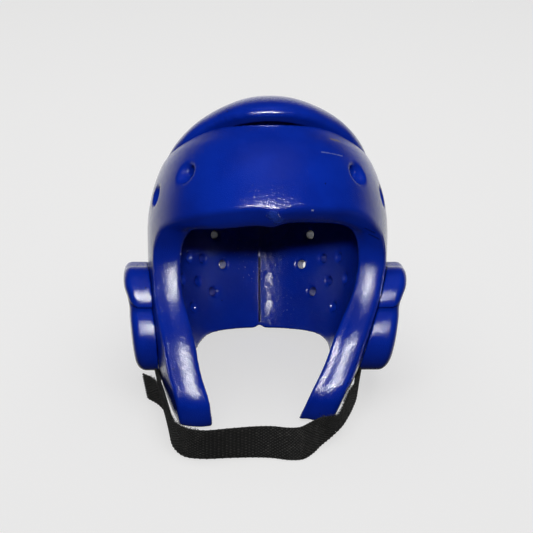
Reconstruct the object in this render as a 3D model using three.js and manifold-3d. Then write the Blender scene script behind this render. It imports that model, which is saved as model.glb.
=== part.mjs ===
// Head guard for sparring: a dipped-foam shell with an open face, a raised crown pad over a
// crescent vent, two ear pads, and a webbing chin strap that closes with hook and loop.
// Millimetres. The guard is drawn upright, as it sits on a head: +Z up, the face towards -Y, the
// ears on X, and Z = 0 at the cheek tips. It is then tipped back until the cheek tips and the
// nape stand on one floor, which is how it rests by itself. The strap is drawn on that floor.
import * as THREE from "three";
import { mergeVertices } from "three/addons/utils/BufferGeometryUtils.js";
import Module from "manifold-3d";

const wasm = await Module();
wasm.setup();

const degrees = THREE.MathUtils.degToRad;

// Foam
const WALL = 21;
const CHEEK_EXTRA = 3;
const CROWN_WALL = 18;
const SEAM_GAP = 0.35;

// Level sections of the shell's outside: half is the reach to each ear
const SECTIONS = [
  { z: -14, half: 58, front: 116, back: 80 },
  { z: 2, half: 66, front: 116, back: 87 },
  { z: 18, half: 73, front: 116, back: 93 },
  { z: 38, half: 80.5, front: 116, back: 98.5 },
  { z: 60, half: 86.5, front: 113, back: 103.5 },
  { z: 80, half: 91, front: 108.5, back: 107 },
  { z: 102, half: 95, front: 107, back: 110 },
  { z: 140, half: 97, front: 113, back: 112 },
  { z: 162, half: 96.3, front: 112, back: 110.5 },
  { z: 182, half: 92.5, front: 107, back: 106 },
  { z: 200, half: 86, front: 98, back: 98 },
  { z: 210, half: 80, front: 90.5, back: 92 },
  { z: 218, half: 72.5, front: 83, back: 85 },
  { z: 232, half: 54, front: 64, back: 68 },
  { z: 246, half: 30, front: 38, back: 42 },
];
const ROUNDNESS = 2.15;
const FORM_ROWS = 19;
const FORM_SIDES = 48;

// The soft cheeks hang a little to one side: most at the tips, none from this height or depth on
const SWAY = { x: -11.3, top: 120, power: 1.1, behind: 70 };

// Rest on the floor: the angle it tips back, the flat worn where it stands, and how far the +X
// cheek is pressed back along the floor
const TILT = degrees(27.1);
const FLAT = 0.6;
const PRESS = 10;

// Face opening and lower edge, seen from the side
const BROW = { y: -111, z: 161.5, slope: -0.28, end: -72 };
const CHEEK_EDGE = [
  { y: -59, z: 146.5 },
  { y: -50, z: 138.5 },
  { y: -44, z: 129.5 },
  { y: -39.8, z: 118 },
  { y: -37.8, z: 102 },
  { y: -39.5, z: 86 },
  { y: -44, z: 76 },
  { y: -49.5, z: 66 },
  { y: -52.7, z: 56 },
  { y: -54, z: 44 },
  { y: -54.2, z: 26 },
];
const TIP = { y: -41.5, z: 7.5, radius: 12, heel: degrees(-58) };
const LOWER_EDGE = [
  { y: -20, z: 9 },
  { y: 5, z: 27 },
  { y: 35, z: 46 },
  { y: 62, z: 62.5 },
  { y: 84, z: 68.5 },
  { y: 100, z: 69.2 },
];
const CLEAR = 150;

// Rim between the shell and the crown pad: turn is from the brow round to the nape
const RIM = [
  { turn: 0, z: 231.5 },
  { turn: 22, z: 231 },
  { turn: 40, z: 229 },
  { turn: 57, z: 224 },
  { turn: 73, z: 213.5 },
  { turn: 86, z: 204 },
  { turn: 108, z: 196 },
  { turn: 140, z: 190 },
  { turn: 180, z: 188 },
];
const HEAD_CENTRE = new THREE.Vector3(0, 0, 150);

// Crown pad: its apex, how far its edge stands in from the rim, and its roundness by side, then the
// lift of its front lip over the forehead and how much higher the lip's inner edge is
const CROWN = { x: 2.4, y: 4, z: 259.5, inset: 2.8, front: 2.2, left: 1.68, right: 1.55, back: 1.7 };
const LIP = { in: 3.5, up: 7.5, level: 12, span: degrees(95) };

// Vents through the foam, on both sides: turn is from the brow round to the nape
const VENT_RADIUS = 6.5;
const VENTS = [
  { turn: 47, z: 192 },
  { turn: 73, z: 176 },
  { turn: 90, z: 143 },
  { turn: 115, z: 108 },
  { turn: 124, z: 82 },
  { turn: 124, z: 127 },
  { turn: 133, z: 106 },
  { turn: 139, z: 126 },
  { turn: 147, z: 96 },
  { turn: 156, z: 121 },
  { turn: 150, z: 148 },
];

// Ear pad: arcs in order round its outline seen from the side, angles in degrees, then the reach
// of its outer face by height, with a waist between two lobes
const EAR_ARCS = [
  { y: -13, z: 105, radius: 19, from: 230, to: 90 },
  { y: 6, z: 98, radius: 26, from: 90, to: 0 },
  { y: -2, z: 68, radius: 32, from: 0, to: -224 },
];
const EAR_FACE = [
  { z: 30, reach: 98 },
  { z: 38, reach: 100.5 },
  { z: 47, reach: 103.5 },
  { z: 61, reach: 106.3 },
  { z: 79, reach: 108.5 },
  { z: 88, reach: 109 },
  { z: 96, reach: 111 },
  { z: 104, reach: 113.7 },
  { z: 113, reach: 114.2 },
  { z: 130, reach: 113 },
];
const EAR_CURVE = 170;
const EAR_LEAN = { x: -2, top: 113, perHeight: 0.027 };
const EAR_HOLE = { y: -2, z: 74, radius: 6.5 };

// Chin strap on the floor: its lower edge, then how far its upper edge leans from over it
const STRAP = { width: 25, thick: 1.8 };
const NO_MARGIN = { left: 0, right: 0, edges: 0 };
const LONG_STRAP = [
  { x: 74.4, y: 34, z: 10, leanX: 7.8, leanY: 0 },
  { x: 72.2, y: 16, z: 5, leanX: 5.4, leanY: 0 },
  { x: 71.2, y: -2, z: 1.2, leanX: 1.8, leanY: 0 },
  { x: 67.1, y: -16, z: 0.4, leanX: 1, leanY: -1 },
  { x: 63.2, y: -27, z: 0.4, leanX: 0, leanY: -5 },
  { x: 56.2, y: -42, z: 0.4, leanX: 2, leanY: -14 },
  { x: 46.5, y: -57.5, z: 0.4, leanX: 2, leanY: -7.5 },
  { x: 38, y: -69.5, z: 0.4, leanX: -1, leanY: 1 },
  { x: 31, y: -80.5, z: 0.4, leanX: -2, leanY: 7 },
  { x: 23, y: -88.5, z: 0.4, leanX: -2, leanY: 10.5 },
  { x: 13, y: -89.5, z: 0.4, leanX: -1, leanY: 10.5 },
  { x: 0, y: -86.5, z: 0.4, leanX: 0, leanY: 8 },
  { x: -13, y: -85.5, z: 0.4, leanX: 0, leanY: 6 },
  { x: -33, y: -86, z: 0.4, leanX: 0, leanY: 3 },
  { x: -54, y: -87, z: 0.4, leanX: 0, leanY: 1 },
  { x: -65, y: -83.5, z: 0.4, leanX: -1, leanY: 1 },
  { x: -72, y: -71, z: 0.4, leanX: -4.5, leanY: -3 },
  { x: -75.4, y: -52, z: 0.4, leanX: -7.8, leanY: -1 },
  { x: -78.9, y: -35, z: 0.4, leanX: -7.1, leanY: 0 },
  { x: -82.2, y: -20, z: 0.4, leanX: -6, leanY: 0 },
  { x: -88, y: -8, z: 0.4, leanX: -4.6, leanY: 0 },
  { x: -96, y: 1, z: 0.4, leanX: -4, leanY: -2 },
];
const SHORT_STRAP = [
  { x: -86.2, y: 30, z: 4, leanX: -6.5, leanY: 0 },
  { x: -86.4, y: 14, z: 2, leanX: -5.2, leanY: 0 },
  { x: -84.2, y: -4, z: 1, leanX: -4.4, leanY: 0 },
  { x: -79.3, y: -20, z: 0.6, leanX: -5.8, leanY: 0 },
  { x: -76.5, y: -35, z: 0.6, leanX: -7.1, leanY: 0 },
  { x: -72.8, y: -51, z: 0.6, leanX: -7.8, leanY: 0 },
];

const DIP_BLUE = new THREE.MeshStandardMaterial({ color: 0x0d2a9e, roughness: 0.35, metalness: 0 });
const WEBBING = new THREE.MeshStandardMaterial({ color: 0x141414, roughness: 0.9, metalness: 0 });

const signedPower = (value, power) => Math.sign(value) * Math.abs(value) ** power;
const frontShare = (turn) => Math.max(0, Math.cos(turn));
const wrapped = (turn) => (turn > Math.PI ? turn - 2 * Math.PI : turn);

// One column of a table at any place along its key column, on a smooth curve through its rows.
function columnAt(rows, column, key, place) {
  const last = rows.length - 2;
  const i = Math.min(last, Math.max(0, rows.filter((row) => row[key] <= place).length - 1));
  const slope = (j) => {
    const before = rows[Math.max(0, j - 1)];
    const after = rows[Math.min(last + 1, j + 1)];
    return (after[column] - before[column]) / (after[key] - before[key]);
  };
  const [low, high] = [rows[i], rows[i + 1]];
  const span = high[key] - low[key];
  const t = (place - low[key]) / span;
  const [t2, t3] = [t * t, t * t * t];
  return (
    (2 * t3 - 3 * t2 + 1) * low[column] +
    (t3 - 2 * t2 + t) * span * slope(i) +
    (3 * t2 - 2 * t3) * high[column] +
    (t3 - t2) * span * slope(i + 1)
  );
}

function swayAt(y, z) {
  const down = Math.max(0, (SWAY.top - z) / SWAY.top) ** SWAY.power;
  return SWAY.x * down * THREE.MathUtils.smoothstep(-y, -SWAY.behind, 0);
}

// A point of the shell's outside: turn is 0 at the brow, a quarter turn at the +X ear.
function outside(turn, z) {
  const reach = columnAt(SECTIONS, Math.cos(turn) > 0 ? "front" : "back", "z", z);
  const y = -reach * signedPower(Math.cos(turn), 2 / ROUNDNESS);
  const x = columnAt(SECTIONS, "half", "z", z) * signedPower(Math.sin(turn), 2 / ROUNDNESS);
  return new THREE.Vector3(x + swayAt(y, z), y, z);
}

function outwards(turn, z) {
  const along = outside(turn + 0.01, z).sub(outside(turn - 0.01, z));
  const up = outside(turn, z + 0.5).sub(outside(turn, z - 0.5));
  return along.cross(up).normalize();
}

const ring = (sides, pointAt) =>
  Array.from({ length: sides }, (_, side) => pointAt((side / sides) * 2 * Math.PI));

function middle(points) {
  const sum = new THREE.Vector3();
  for (const point of points) sum.add(point);
  return sum.divideScalar(points.length);
}

// A closed skin over rings of points, each ring counter-clockwise seen from the last ring's side.
function skin(rings) {
  const sides = rings[0].length;
  const top = (rings.length - 1) * sides;
  const points = [...rings.flat(), middle(rings[0]), middle(rings[rings.length - 1])];
  const faces = [];
  for (let side = 0; side < sides; side++) {
    const next = (side + 1) % sides;
    for (let low = 0; low < top; low += sides) {
      const high = low + sides;
      faces.push(low + side, low + next, high + next);
      faces.push(low + side, high + next, high + side);
    }
    faces.push(points.length - 2, next, side);
    faces.push(points.length - 1, top + side, top + next);
  }
  return new THREE.BufferGeometry().setFromPoints(points).setIndex(faces);
}

// Solids for cutting and joining

function solid(geometry) {
  const bare = new THREE.BufferGeometry();
  bare.setAttribute("position", geometry.getAttribute("position"));
  bare.setIndex(geometry.index);
  const merged = mergeVertices(bare, 1e-4);
  return new wasm.Manifold(
    new wasm.Mesh({
      numProp: 3,
      vertProperties: merged.getAttribute("position").array,
      triVerts: new Uint32Array(merged.index.array),
    }),
  );
}

function geometryOf(made) {
  const mesh = made.getMesh();
  return new THREE.BufferGeometry()
    .setAttribute("position", new THREE.BufferAttribute(mesh.vertProperties, 3))
    .setIndex(new THREE.BufferAttribute(mesh.triVerts, 1));
}

// The head form grown by an offset along its own normals: offsetAt gives it for an outside point.
function headForm(offsetAt) {
  const low = SECTIONS[0].z;
  const step = (SECTIONS[SECTIONS.length - 1].z - low) / FORM_ROWS;
  const rings = [];
  for (let row = 0; row <= FORM_ROWS; row++) {
    const z = low + row * step;
    rings.push(
      ring(FORM_SIDES, (turn) => {
        const point = outside(turn, z);
        return point.addScaledVector(outwards(turn, z), offsetAt(point));
      }),
    );
  }
  return solid(skin(rings));
}

// Thickness of the shell's wall, which is more at the cheeks.
function wallAt({ y, z }) {
  const low = 1 - THREE.MathUtils.smoothstep(z, 60, 110);
  return WALL + CHEEK_EXTRA * low * THREE.MathUtils.smoothstep(-y, -20, 20);
}

// A prism along X, from an outline drawn in y and z.
function acrossHead(shape, from, to) {
  const geometry = new THREE.ExtrudeGeometry(shape, {
    depth: to - from,
    bevelEnabled: false,
    curveSegments: 10,
  });
  const turned = new THREE.Matrix4().makeBasis(
    new THREE.Vector3(0, 1, 0),
    new THREE.Vector3(0, 0, 1),
    new THREE.Vector3(1, 0, 0),
  );
  return solid(geometry.applyMatrix4(turned).translate(from, 0, 0));
}

const sideRange = (side, near) => (side > 0 ? [near, CLEAR] : [-CLEAR, -near]);

// A point of the face or lower edge, moved along the floor where the cheek on +X is pressed back.
function pressed(point, side) {
  const down = Math.max(0, 1 - point.z / BROW.z) ** 1.5;
  const forward = THREE.MathUtils.clamp((40 - point.y) / 80, 0, 1);
  const shift = side > 0 ? PRESS * down * forward : 0;
  return new THREE.Vector2(point.y + shift * Math.cos(TILT), point.z + shift * Math.sin(TILT));
}

function faceCutter(side) {
  const browAt = (y) => BROW.z + BROW.slope * (y - BROW.y);
  const tip = pressed(TIP, side);
  const edge = CHEEK_EDGE.map((row) => pressed(row, side)).reverse();
  const shape = new THREE.Shape();
  shape.moveTo(-CLEAR, browAt(-CLEAR));
  shape.lineTo(-CLEAR, -CLEAR);
  shape.lineTo(tip.x - TIP.radius, -CLEAR);
  shape.lineTo(tip.x - TIP.radius, tip.y);
  shape.splineThru([...edge, new THREE.Vector2(BROW.end, browAt(BROW.end))]);
  return acrossHead(shape, ...sideRange(side, 0));
}

function underCutter(side) {
  const tip = pressed(TIP, side);
  const edge = LOWER_EDGE.map((row) => pressed(row, side)).reverse();
  const shape = new THREE.Shape();
  shape.moveTo(-CLEAR, tip.y);
  shape.lineTo(-CLEAR, -CLEAR);
  shape.lineTo(CLEAR, -CLEAR);
  shape.lineTo(CLEAR, edge[0].y);
  shape.lineTo(edge[0].x, edge[0].y);
  const heel = new THREE.Vector2(TIP.radius, 0).rotateAround(new THREE.Vector2(), TIP.heel);
  shape.splineThru([...edge.slice(1), heel.add(tip)]);
  shape.absarc(tip.x, tip.y, TIP.radius, TIP.heel, degrees(-180), true);
  return acrossHead(shape, ...sideRange(side, 0));
}

// How high the floor lies under the upright guard's origin, square to the floor.
const FLOOR = -TIP.y * Math.sin(TILT) + TIP.z * Math.cos(TILT) - TIP.radius + FLAT;

function floorCutter() {
  const slab = new THREE.BoxGeometry(CLEAR * 2, CLEAR * 4, CLEAR);
  return solid(slab.translate(0, 0, FLOOR - CLEAR / 2).rotateX(TILT));
}

// Height of the shell's top rim: high over the forehead, falling to the sides, level behind.
const rimHeight = (turn) => {
  const apart = Math.abs(THREE.MathUtils.radToDeg(wrapped(turn)));
  return columnAt(RIM, "z", "turn", apart);
};

// Everything above the rim, bounded by straight lines from the rim to the head's centre.
function topCutter() {
  const far = ring(FORM_SIDES, (turn) =>
    outside(turn, rimHeight(turn)).sub(HEAD_CENTRE).multiplyScalar(1.5).add(HEAD_CENTRE),
  );
  const heart = far.map((point) => HEAD_CENTRE.clone().lerp(point, 0.05));
  const lid = far.map((point) => point.clone().setZ(CLEAR * 2));
  return solid(skin([heart, far, lid]));
}

function ventCutter({ turn, z }, side) {
  const angle = side * degrees(turn);
  const axis = outwards(angle, z);
  const centre = outside(angle, z).addScaledVector(axis, -WALL / 2);
  const drill = new THREE.CylinderGeometry(VENT_RADIUS, VENT_RADIUS, WALL * 3, 12);
  const turned = new THREE.Quaternion().setFromUnitVectors(new THREE.Vector3(0, 1, 0), axis);
  return solid(drill.applyQuaternion(turned).translate(centre.x, centre.y, centre.z));
}

function earHoleCutter() {
  const drill = new THREE.CylinderGeometry(EAR_HOLE.radius, EAR_HOLE.radius, CLEAR * 2, 12);
  return solid(drill.rotateZ(Math.PI / 2).translate(0, EAR_HOLE.y, EAR_HOLE.z));
}

function makeShell() {
  let shell = headForm(() => 0)
    .subtract(headForm((point) => -wallAt(point)))
    .subtract(topCutter())
    .subtract(floorCutter())
    .subtract(earHoleCutter());
  for (const side of [-1, 1]) {
    shell = shell.subtract(faceCutter(side)).subtract(underCutter(side));
    for (const vent of VENTS) shell = shell.subtract(ventCutter(vent, side));
  }
  return geometryOf(shell);
}

// How much of the lip's lift applies: all of it at the brow, none from the temples on.
function lipLift(turn) {
  const share = Math.min(1, Math.abs(wrapped(turn)) / LIP.span);
  return Math.cos((share * Math.PI) / 2) ** 2;
}

// Lower edge of the crown pad: on the rim at the sides and behind, lifted clear over the forehead.
function crownEdge(turn) {
  const lift = lipLift(turn);
  const edge = outside(turn, rimHeight(turn));
  const inward = new THREE.Vector3(-edge.x, -edge.y, 0).normalize();
  const toCentre = HEAD_CENTRE.clone().sub(edge).normalize();
  edge.addScaledVector(toCentre, CROWN.inset * (1 - lift));
  edge.addScaledVector(inward, LIP.in * lift);
  edge.z += SEAM_GAP + LIP.up * lift;
  return edge;
}

function crownRoundness(turn) {
  const front = frontShare(turn) ** 2;
  const back = frontShare(turn + Math.PI) ** 2;
  const side = THREE.MathUtils.lerp(CROWN.right, CROWN.left, (1 + Math.sin(turn)) / 2);
  return side + (CROWN.front - side) * front + (CROWN.back - side) * back;
}

// A level of the crown pad: climb runs from 0 at its edge to 1 at its apex.
function crownRing(depth, climb) {
  const apex = new THREE.Vector3(CROWN.x, CROWN.y, CROWN.z - depth);
  return ring(FORM_SIDES, (turn) => {
    const edge = crownEdge(turn);
    edge.addScaledVector(HEAD_CENTRE.clone().sub(edge).normalize(), depth);
    edge.z += ((LIP.level * depth) / CROWN_WALL) * lipLift(turn);
    const power = 2 / crownRoundness(turn);
    const near = Math.cos((climb * Math.PI) / 2) ** power;
    const rise = Math.sin((climb * Math.PI) / 2) ** power;
    const level = apex.clone().lerp(edge, near);
    return level.setZ(edge.z + (apex.z - edge.z) * rise);
  });
}

function makeCrown() {
  const rows = 8;
  const rings = [];
  for (let row = rows - 1; row >= 0; row--) rings.push(crownRing(CROWN_WALL, row / rows));
  for (let row = 0; row < rows; row++) rings.push(crownRing(0, row / rows));
  return skin(rings);
}

function earOutline() {
  const shape = new THREE.Shape();
  for (const arc of EAR_ARCS) {
    shape.absarc(arc.y, arc.z, arc.radius, degrees(arc.from), degrees(arc.to), true);
  }
  return shape;
}

// A tall barrel whose side is the ear pad's outer face.
function earBarrel() {
  const rings = [];
  for (let z = EAR_FACE[0].z; z <= EAR_FACE[EAR_FACE.length - 1].z; z += 5) {
    const reach = columnAt(EAR_FACE, "reach", "z", z);
    const lean = EAR_LEAN.x - EAR_LEAN.perHeight * (EAR_LEAN.top - z);
    rings.push(
      ring(FORM_SIDES, (turn) =>
        new THREE.Vector3(lean + reach * Math.cos(turn), EAR_CURVE * Math.sin(turn), z),
      ),
    );
  }
  return solid(skin(rings));
}

function makeEarPad(side, tuckedStrap) {
  const pad = acrossHead(earOutline(), ...sideRange(side, 40))
    .intersect(earBarrel())
    .subtract(headForm(() => SEAM_GAP))
    .subtract(earHoleCutter())
    .subtract(solid(upright(ribbon(tuckedStrap, strapPocket(side)))));
  return geometryOf(pad);
}

// The room that a tucked strap end takes under an ear pad: a gap all round, open to the shell.
function strapPocket(side) {
  const openSide = side > 0 ? "right" : "left";
  return { left: SEAM_GAP, right: SEAM_GAP, edges: SEAM_GAP, [openSide]: WALL / 2 };
}

// A webbing strap between smooth lower and upper edges, drawn on the floor and grown by a margin
// on its left and right sides, looking along it, and at its edges and ends.
function ribbon(rows, margin) {
  const lower = rows.map((row) => new THREE.Vector3(row.x, row.y, row.z));
  const upper = rows.map((row) => {
    const high = Math.sqrt(STRAP.width ** 2 - row.leanX ** 2 - row.leanY ** 2);
    return new THREE.Vector3(row.x + row.leanX, row.y + row.leanY, row.z + high);
  });
  const lowerEdge = new THREE.CatmullRomCurve3(lower);
  const upperEdge = new THREE.CatmullRomCurve3(upper);
  const steps = 2 * (rows.length - 1);
  const rings = [];
  for (let step = 0; step <= steps; step++) {
    const share = step / steps;
    const [foot, head] = [lowerEdge.getPoint(share), upperEdge.getPoint(share)];
    const up = head.clone().sub(foot).normalize();
    const along = lowerEdge.getTangent(share).add(upperEdge.getTangent(share)).normalize();
    const right = along.clone().cross(up).normalize();
    const past = margin.edges * (Number(step === steps) - Number(step === 0));
    const left = right.clone().multiplyScalar(-STRAP.thick / 2 - margin.left);
    right.multiplyScalar(STRAP.thick / 2 + margin.right);
    foot.addScaledVector(up, -margin.edges).addScaledVector(along, past);
    head.addScaledVector(up, margin.edges).addScaledVector(along, past);
    rings.push([
      foot.clone().add(left),
      head.clone().add(left),
      head.clone().add(right),
      foot.clone().add(right),
    ]);
  }
  return skin(rings);
}

// Between the upright guard and the guard tipped back on its floor
const tipped = (geometry) => geometry.rotateX(-TILT).translate(0, 0, -FLOOR);
const upright = (geometry) => geometry.translate(0, 0, FLOOR).rotateX(TILT);

function named(name, geometry, material) {
  const mesh = new THREE.Mesh(geometry, material);
  mesh.name = name;
  return mesh;
}

const guard = new THREE.Group();
guard.add(named("shell", tipped(makeShell()), DIP_BLUE));
guard.add(named("crown_pad", tipped(makeCrown()), DIP_BLUE));
guard.add(named("ear_pad_left", tipped(makeEarPad(1, LONG_STRAP)), DIP_BLUE));
guard.add(named("ear_pad_right", tipped(makeEarPad(-1, SHORT_STRAP)), DIP_BLUE));
guard.add(named("strap_long", ribbon(LONG_STRAP, NO_MARGIN), WEBBING));
guard.add(named("strap_short", ribbon(SHORT_STRAP, NO_MARGIN), WEBBING));

// Stand the whole over the middle of its own box
const box = new THREE.Box3().setFromObject(guard);
const centre = box.getCenter(new THREE.Vector3());
for (const piece of guard.children) piece.geometry.translate(-centre.x, -centre.y, -box.min.z);

export default guard;
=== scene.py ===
import logging
import math
from dataclasses import dataclass
from enum import Enum
from functools import cache
from typing import NamedTuple

import bpy
import numpy as np
import openvdb
from mathutils import Matrix, Vector
from mathutils.bvhtree import BVHTree


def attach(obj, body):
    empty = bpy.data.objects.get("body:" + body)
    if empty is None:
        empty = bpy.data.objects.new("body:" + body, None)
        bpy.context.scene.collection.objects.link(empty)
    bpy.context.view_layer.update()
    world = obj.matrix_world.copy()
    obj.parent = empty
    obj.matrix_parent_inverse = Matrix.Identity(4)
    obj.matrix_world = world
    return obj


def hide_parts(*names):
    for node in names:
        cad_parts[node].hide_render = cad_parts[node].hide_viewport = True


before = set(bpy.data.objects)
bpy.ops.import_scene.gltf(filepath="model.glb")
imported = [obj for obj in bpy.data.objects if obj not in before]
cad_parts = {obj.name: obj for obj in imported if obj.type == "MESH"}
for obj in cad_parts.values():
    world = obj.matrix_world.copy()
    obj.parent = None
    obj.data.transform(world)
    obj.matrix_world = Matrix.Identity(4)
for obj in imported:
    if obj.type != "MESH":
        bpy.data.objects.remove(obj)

LOG = logging.getLogger("head_guard")
MM = 0.001
SHORTEST = 1e-6
Array = np.ndarray
Pair = tuple[float, float]
Spot = tuple[float, float, float]
Colour = tuple[float, float, float, float]


class Side(Enum):
    """Side of the head, as the sign of its X."""

    LEFT = 1
    RIGHT = -1


class Slot(Enum):
    """Names of the material slots."""

    DIP = "dipped_blue"
    WEBBING = "webbing_black"


class Section(NamedTuple):
    """One level section of the shell's outside, in millimetres."""

    z: float
    half: float
    front: float
    back: float


class Vent(NamedTuple):
    """A round vent: degrees round from the brow, height, mouth radius, and how far its axis droops."""

    turn: float
    z: float
    mouth: float
    droop: float


class Arc(NamedTuple):
    """An arc of an outline seen from the side: centre, radius and angles in degrees."""

    y: float
    z: float
    radius: float
    start: float
    end: float


class Station(NamedTuple):
    """A point on a strap's lower edge, and how far its upper edge leans from over it."""

    x: float
    y: float
    z: float
    lean_x: float
    lean_y: float


class MarkKind(Enum):
    """Kinds of marks on the skin, as their colours: marks of use, and painted shade along dents."""

    CHIP = (0.7, 0.71, 0.73, 1.0)
    SCUFF = (0.11, 0.085, 0.07, 1.0)
    SCRATCH = (0.09, 0.12, 0.33, 1.0)
    # Painted shade: a very dark line where a dent's crease lies in shade.
    CREASE = (0.001, 0.006, 0.07, 1.0)
    GLUE = (0.012, 0.04, 0.31, 1.0)


class Mark(NamedTuple):
    """A mark of use along a straight line: its ends in the row's frame and its reach, in millimetres."""

    kind: MarkKind
    start: Spot
    end: Spot
    reach: float


# Shared measures and small maths


def smoothstep(value: Array, low: float, high: float) -> Array:
    """Smooth climb from 0 to 1.

    Args:
        value: Where to read the climb.
        low: Value where it starts.
        high: Value where it ends.

    Returns:
        The share climbed, from 0 to 1.
    """
    share = np.clip((value - low) / (high - low), 0.0, 1.0)
    return share * share * (3.0 - 2.0 * share)


def hump(value: Array, middle: float, reach: float) -> Array:
    """A smooth hump of height 1.

    Args:
        value: Where to read it.
        middle: Value where its top is.
        reach: How far to each side it spreads.

    Returns:
        Its height, from 0 to 1.
    """
    return np.exp(-(((value - middle) / reach) ** 2))


def unit(rows: Array) -> Array:
    """The same directions, one a row, with lengths of 1."""
    return rows / np.linalg.norm(rows, axis=1)[:, None]


def round_meet(first: Array, second: Array, radius: Array | float) -> Array:
    """What two solids share, with its new edge rounded.

    Args:
        first: Signed distance to one solid, negative inside.
        second: Signed distance to the other.
        radius: Radius of the rounded edge.

    Returns:
        Signed distance to the shared solid.
    """
    inside = np.minimum(-radius, np.maximum(first, second))
    return inside + np.hypot(np.maximum(first + radius, 0.0), np.maximum(second + radius, 0.0))


def cubic(t: Array, start: Array, leave: Array, end: Array, arrive: Array) -> Array:
    """A cubic between two values with known slopes.

    Args:
        t: Where to read it, from 0 to 1.
        start: Value at 0.
        leave: Slope at 0.
        end: Value at 1.
        arrive: Slope at 1.

    Returns:
        The values there.
    """
    return (
        (2 * t**3 - 3 * t**2 + 1) * start
        + (t**3 - 2 * t**2 + t) * leave
        + (3 * t**2 - 2 * t**3) * end
        + (t**3 - t**2) * arrive
    )


def curve_at(knots: Array, values: Array, at: Array) -> Array:
    """A smooth curve through a table's column.

    Args:
        knots: Rising positions of the rows.
        values: The column's values.
        at: Positions to read.

    Returns:
        The values there.
    """
    before = np.concatenate([[0], np.arange(len(knots) - 1)])
    after = np.concatenate([np.arange(1, len(knots)), [len(knots) - 1]])
    slopes = (values[after] - values[before]) / (knots[after] - knots[before])
    row = np.clip(np.searchsorted(knots, at, side="right") - 1, 0, len(knots) - 2)
    span = knots[row + 1] - knots[row]
    t = (at - knots[row]) / span
    return cubic(t, values[row], span * slopes[row], values[row + 1], span * slopes[row + 1])


def thread(points: Array, shares: Array) -> Array:
    """A centripetal curve through points.

    Args:
        points: The points that it passes, one a row.
        shares: Where to read it, each from 0 to 1 over evenly counted points.

    Returns:
        One point for each share.
    """
    whole = np.vstack([2 * points[0] - points[1], points, 2 * points[-1] - points[-2]])
    place = shares * (len(points) - 1)
    first = np.minimum(place.astype(int), len(points) - 2)
    t = (place - first)[:, None]
    p0, p1, p2, p3 = (whole[first + step] for step in range(4))
    d0, d1, d2 = (
        np.maximum(np.linalg.norm(b - a, axis=1), SHORTEST)[:, None] ** 0.5
        for a, b in ((p0, p1), (p1, p2), (p2, p3))
    )
    leave = ((p1 - p0) / d0 - (p2 - p0) / (d0 + d1) + (p2 - p1) / d1) * d1
    arrive = ((p2 - p1) / d1 - (p3 - p1) / (d1 + d2) + (p3 - p2) / d2) * d1
    return cubic(t, p1, leave, p2, arrive)


def outline_distance(y: Array, z: Array, outline: Array) -> Array:
    """Signed distance to a closed outline in the side view.

    Args:
        y: Depth of the points to measure.
        z: Height of the points to measure.
        outline: Corners in order, one a row of y and z.

    Returns:
        Distances, negative inside.
    """
    nearest = np.full(y.shape, np.inf)
    inside = np.zeros(y.shape, bool)
    for (y0, z0), (y1, z1) in zip(outline, np.roll(outline, -1, axis=0)):
        dy, dz = y1 - y0, z1 - z0
        square = dy * dy + dz * dz
        if square < SHORTEST**2:
            continue
        share = np.clip(((y - y0) * dy + (z - z0) * dz) / square, 0, 1)
        nearest = np.minimum(nearest, (y - y0 - share * dy) ** 2 + (z - z0 - share * dz) ** 2)
        if z0 != z1:
            crosses = ((z0 > z) != (z1 > z)) & (y < dy * (z - z0) / dz + y0)
            inside ^= crosses
    return np.where(inside, -1.0, 1.0) * np.sqrt(nearest)


@dataclass(frozen=True)
class Stance:
    """How the upright guard stands: tipped back on the floor, over the middle of its own box."""

    tilt: float = math.radians(27.1)
    floor: float = 14.182
    centre_x: float = -2.066
    centre_y: float = 43.933

    def height(self, y: Array, z: Array) -> Array:
        """Height of upright points over the floor.

        Args:
            y: Depth in the upright guard.
            z: Height in the upright guard.

        Returns:
            Heights in millimetres.
        """
        return z * math.cos(self.tilt) - y * math.sin(self.tilt) - self.floor

    def tip(self, points: Array) -> Array:
        """Moves points of the upright guard to their place in the row.

        Args:
            points: Upright points in millimetres, one a row.

        Returns:
            The same points in the row's frame, in metres.
        """
        x, y, z = points.T
        along = y * math.cos(self.tilt) + z * math.sin(self.tilt)
        return self.stand(np.column_stack([x, along, self.height(y, z)]))

    def stand(self, points: Array) -> Array:
        """Moves points drawn on the floor to their place in the row.

        Args:
            points: Points over the floor in millimetres, one a row.

        Returns:
            The same points in the row's frame, in metres.
        """
        return (points - np.array([self.centre_x, self.centre_y, 0.0])) * MM


STANCE = Stance()


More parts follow.
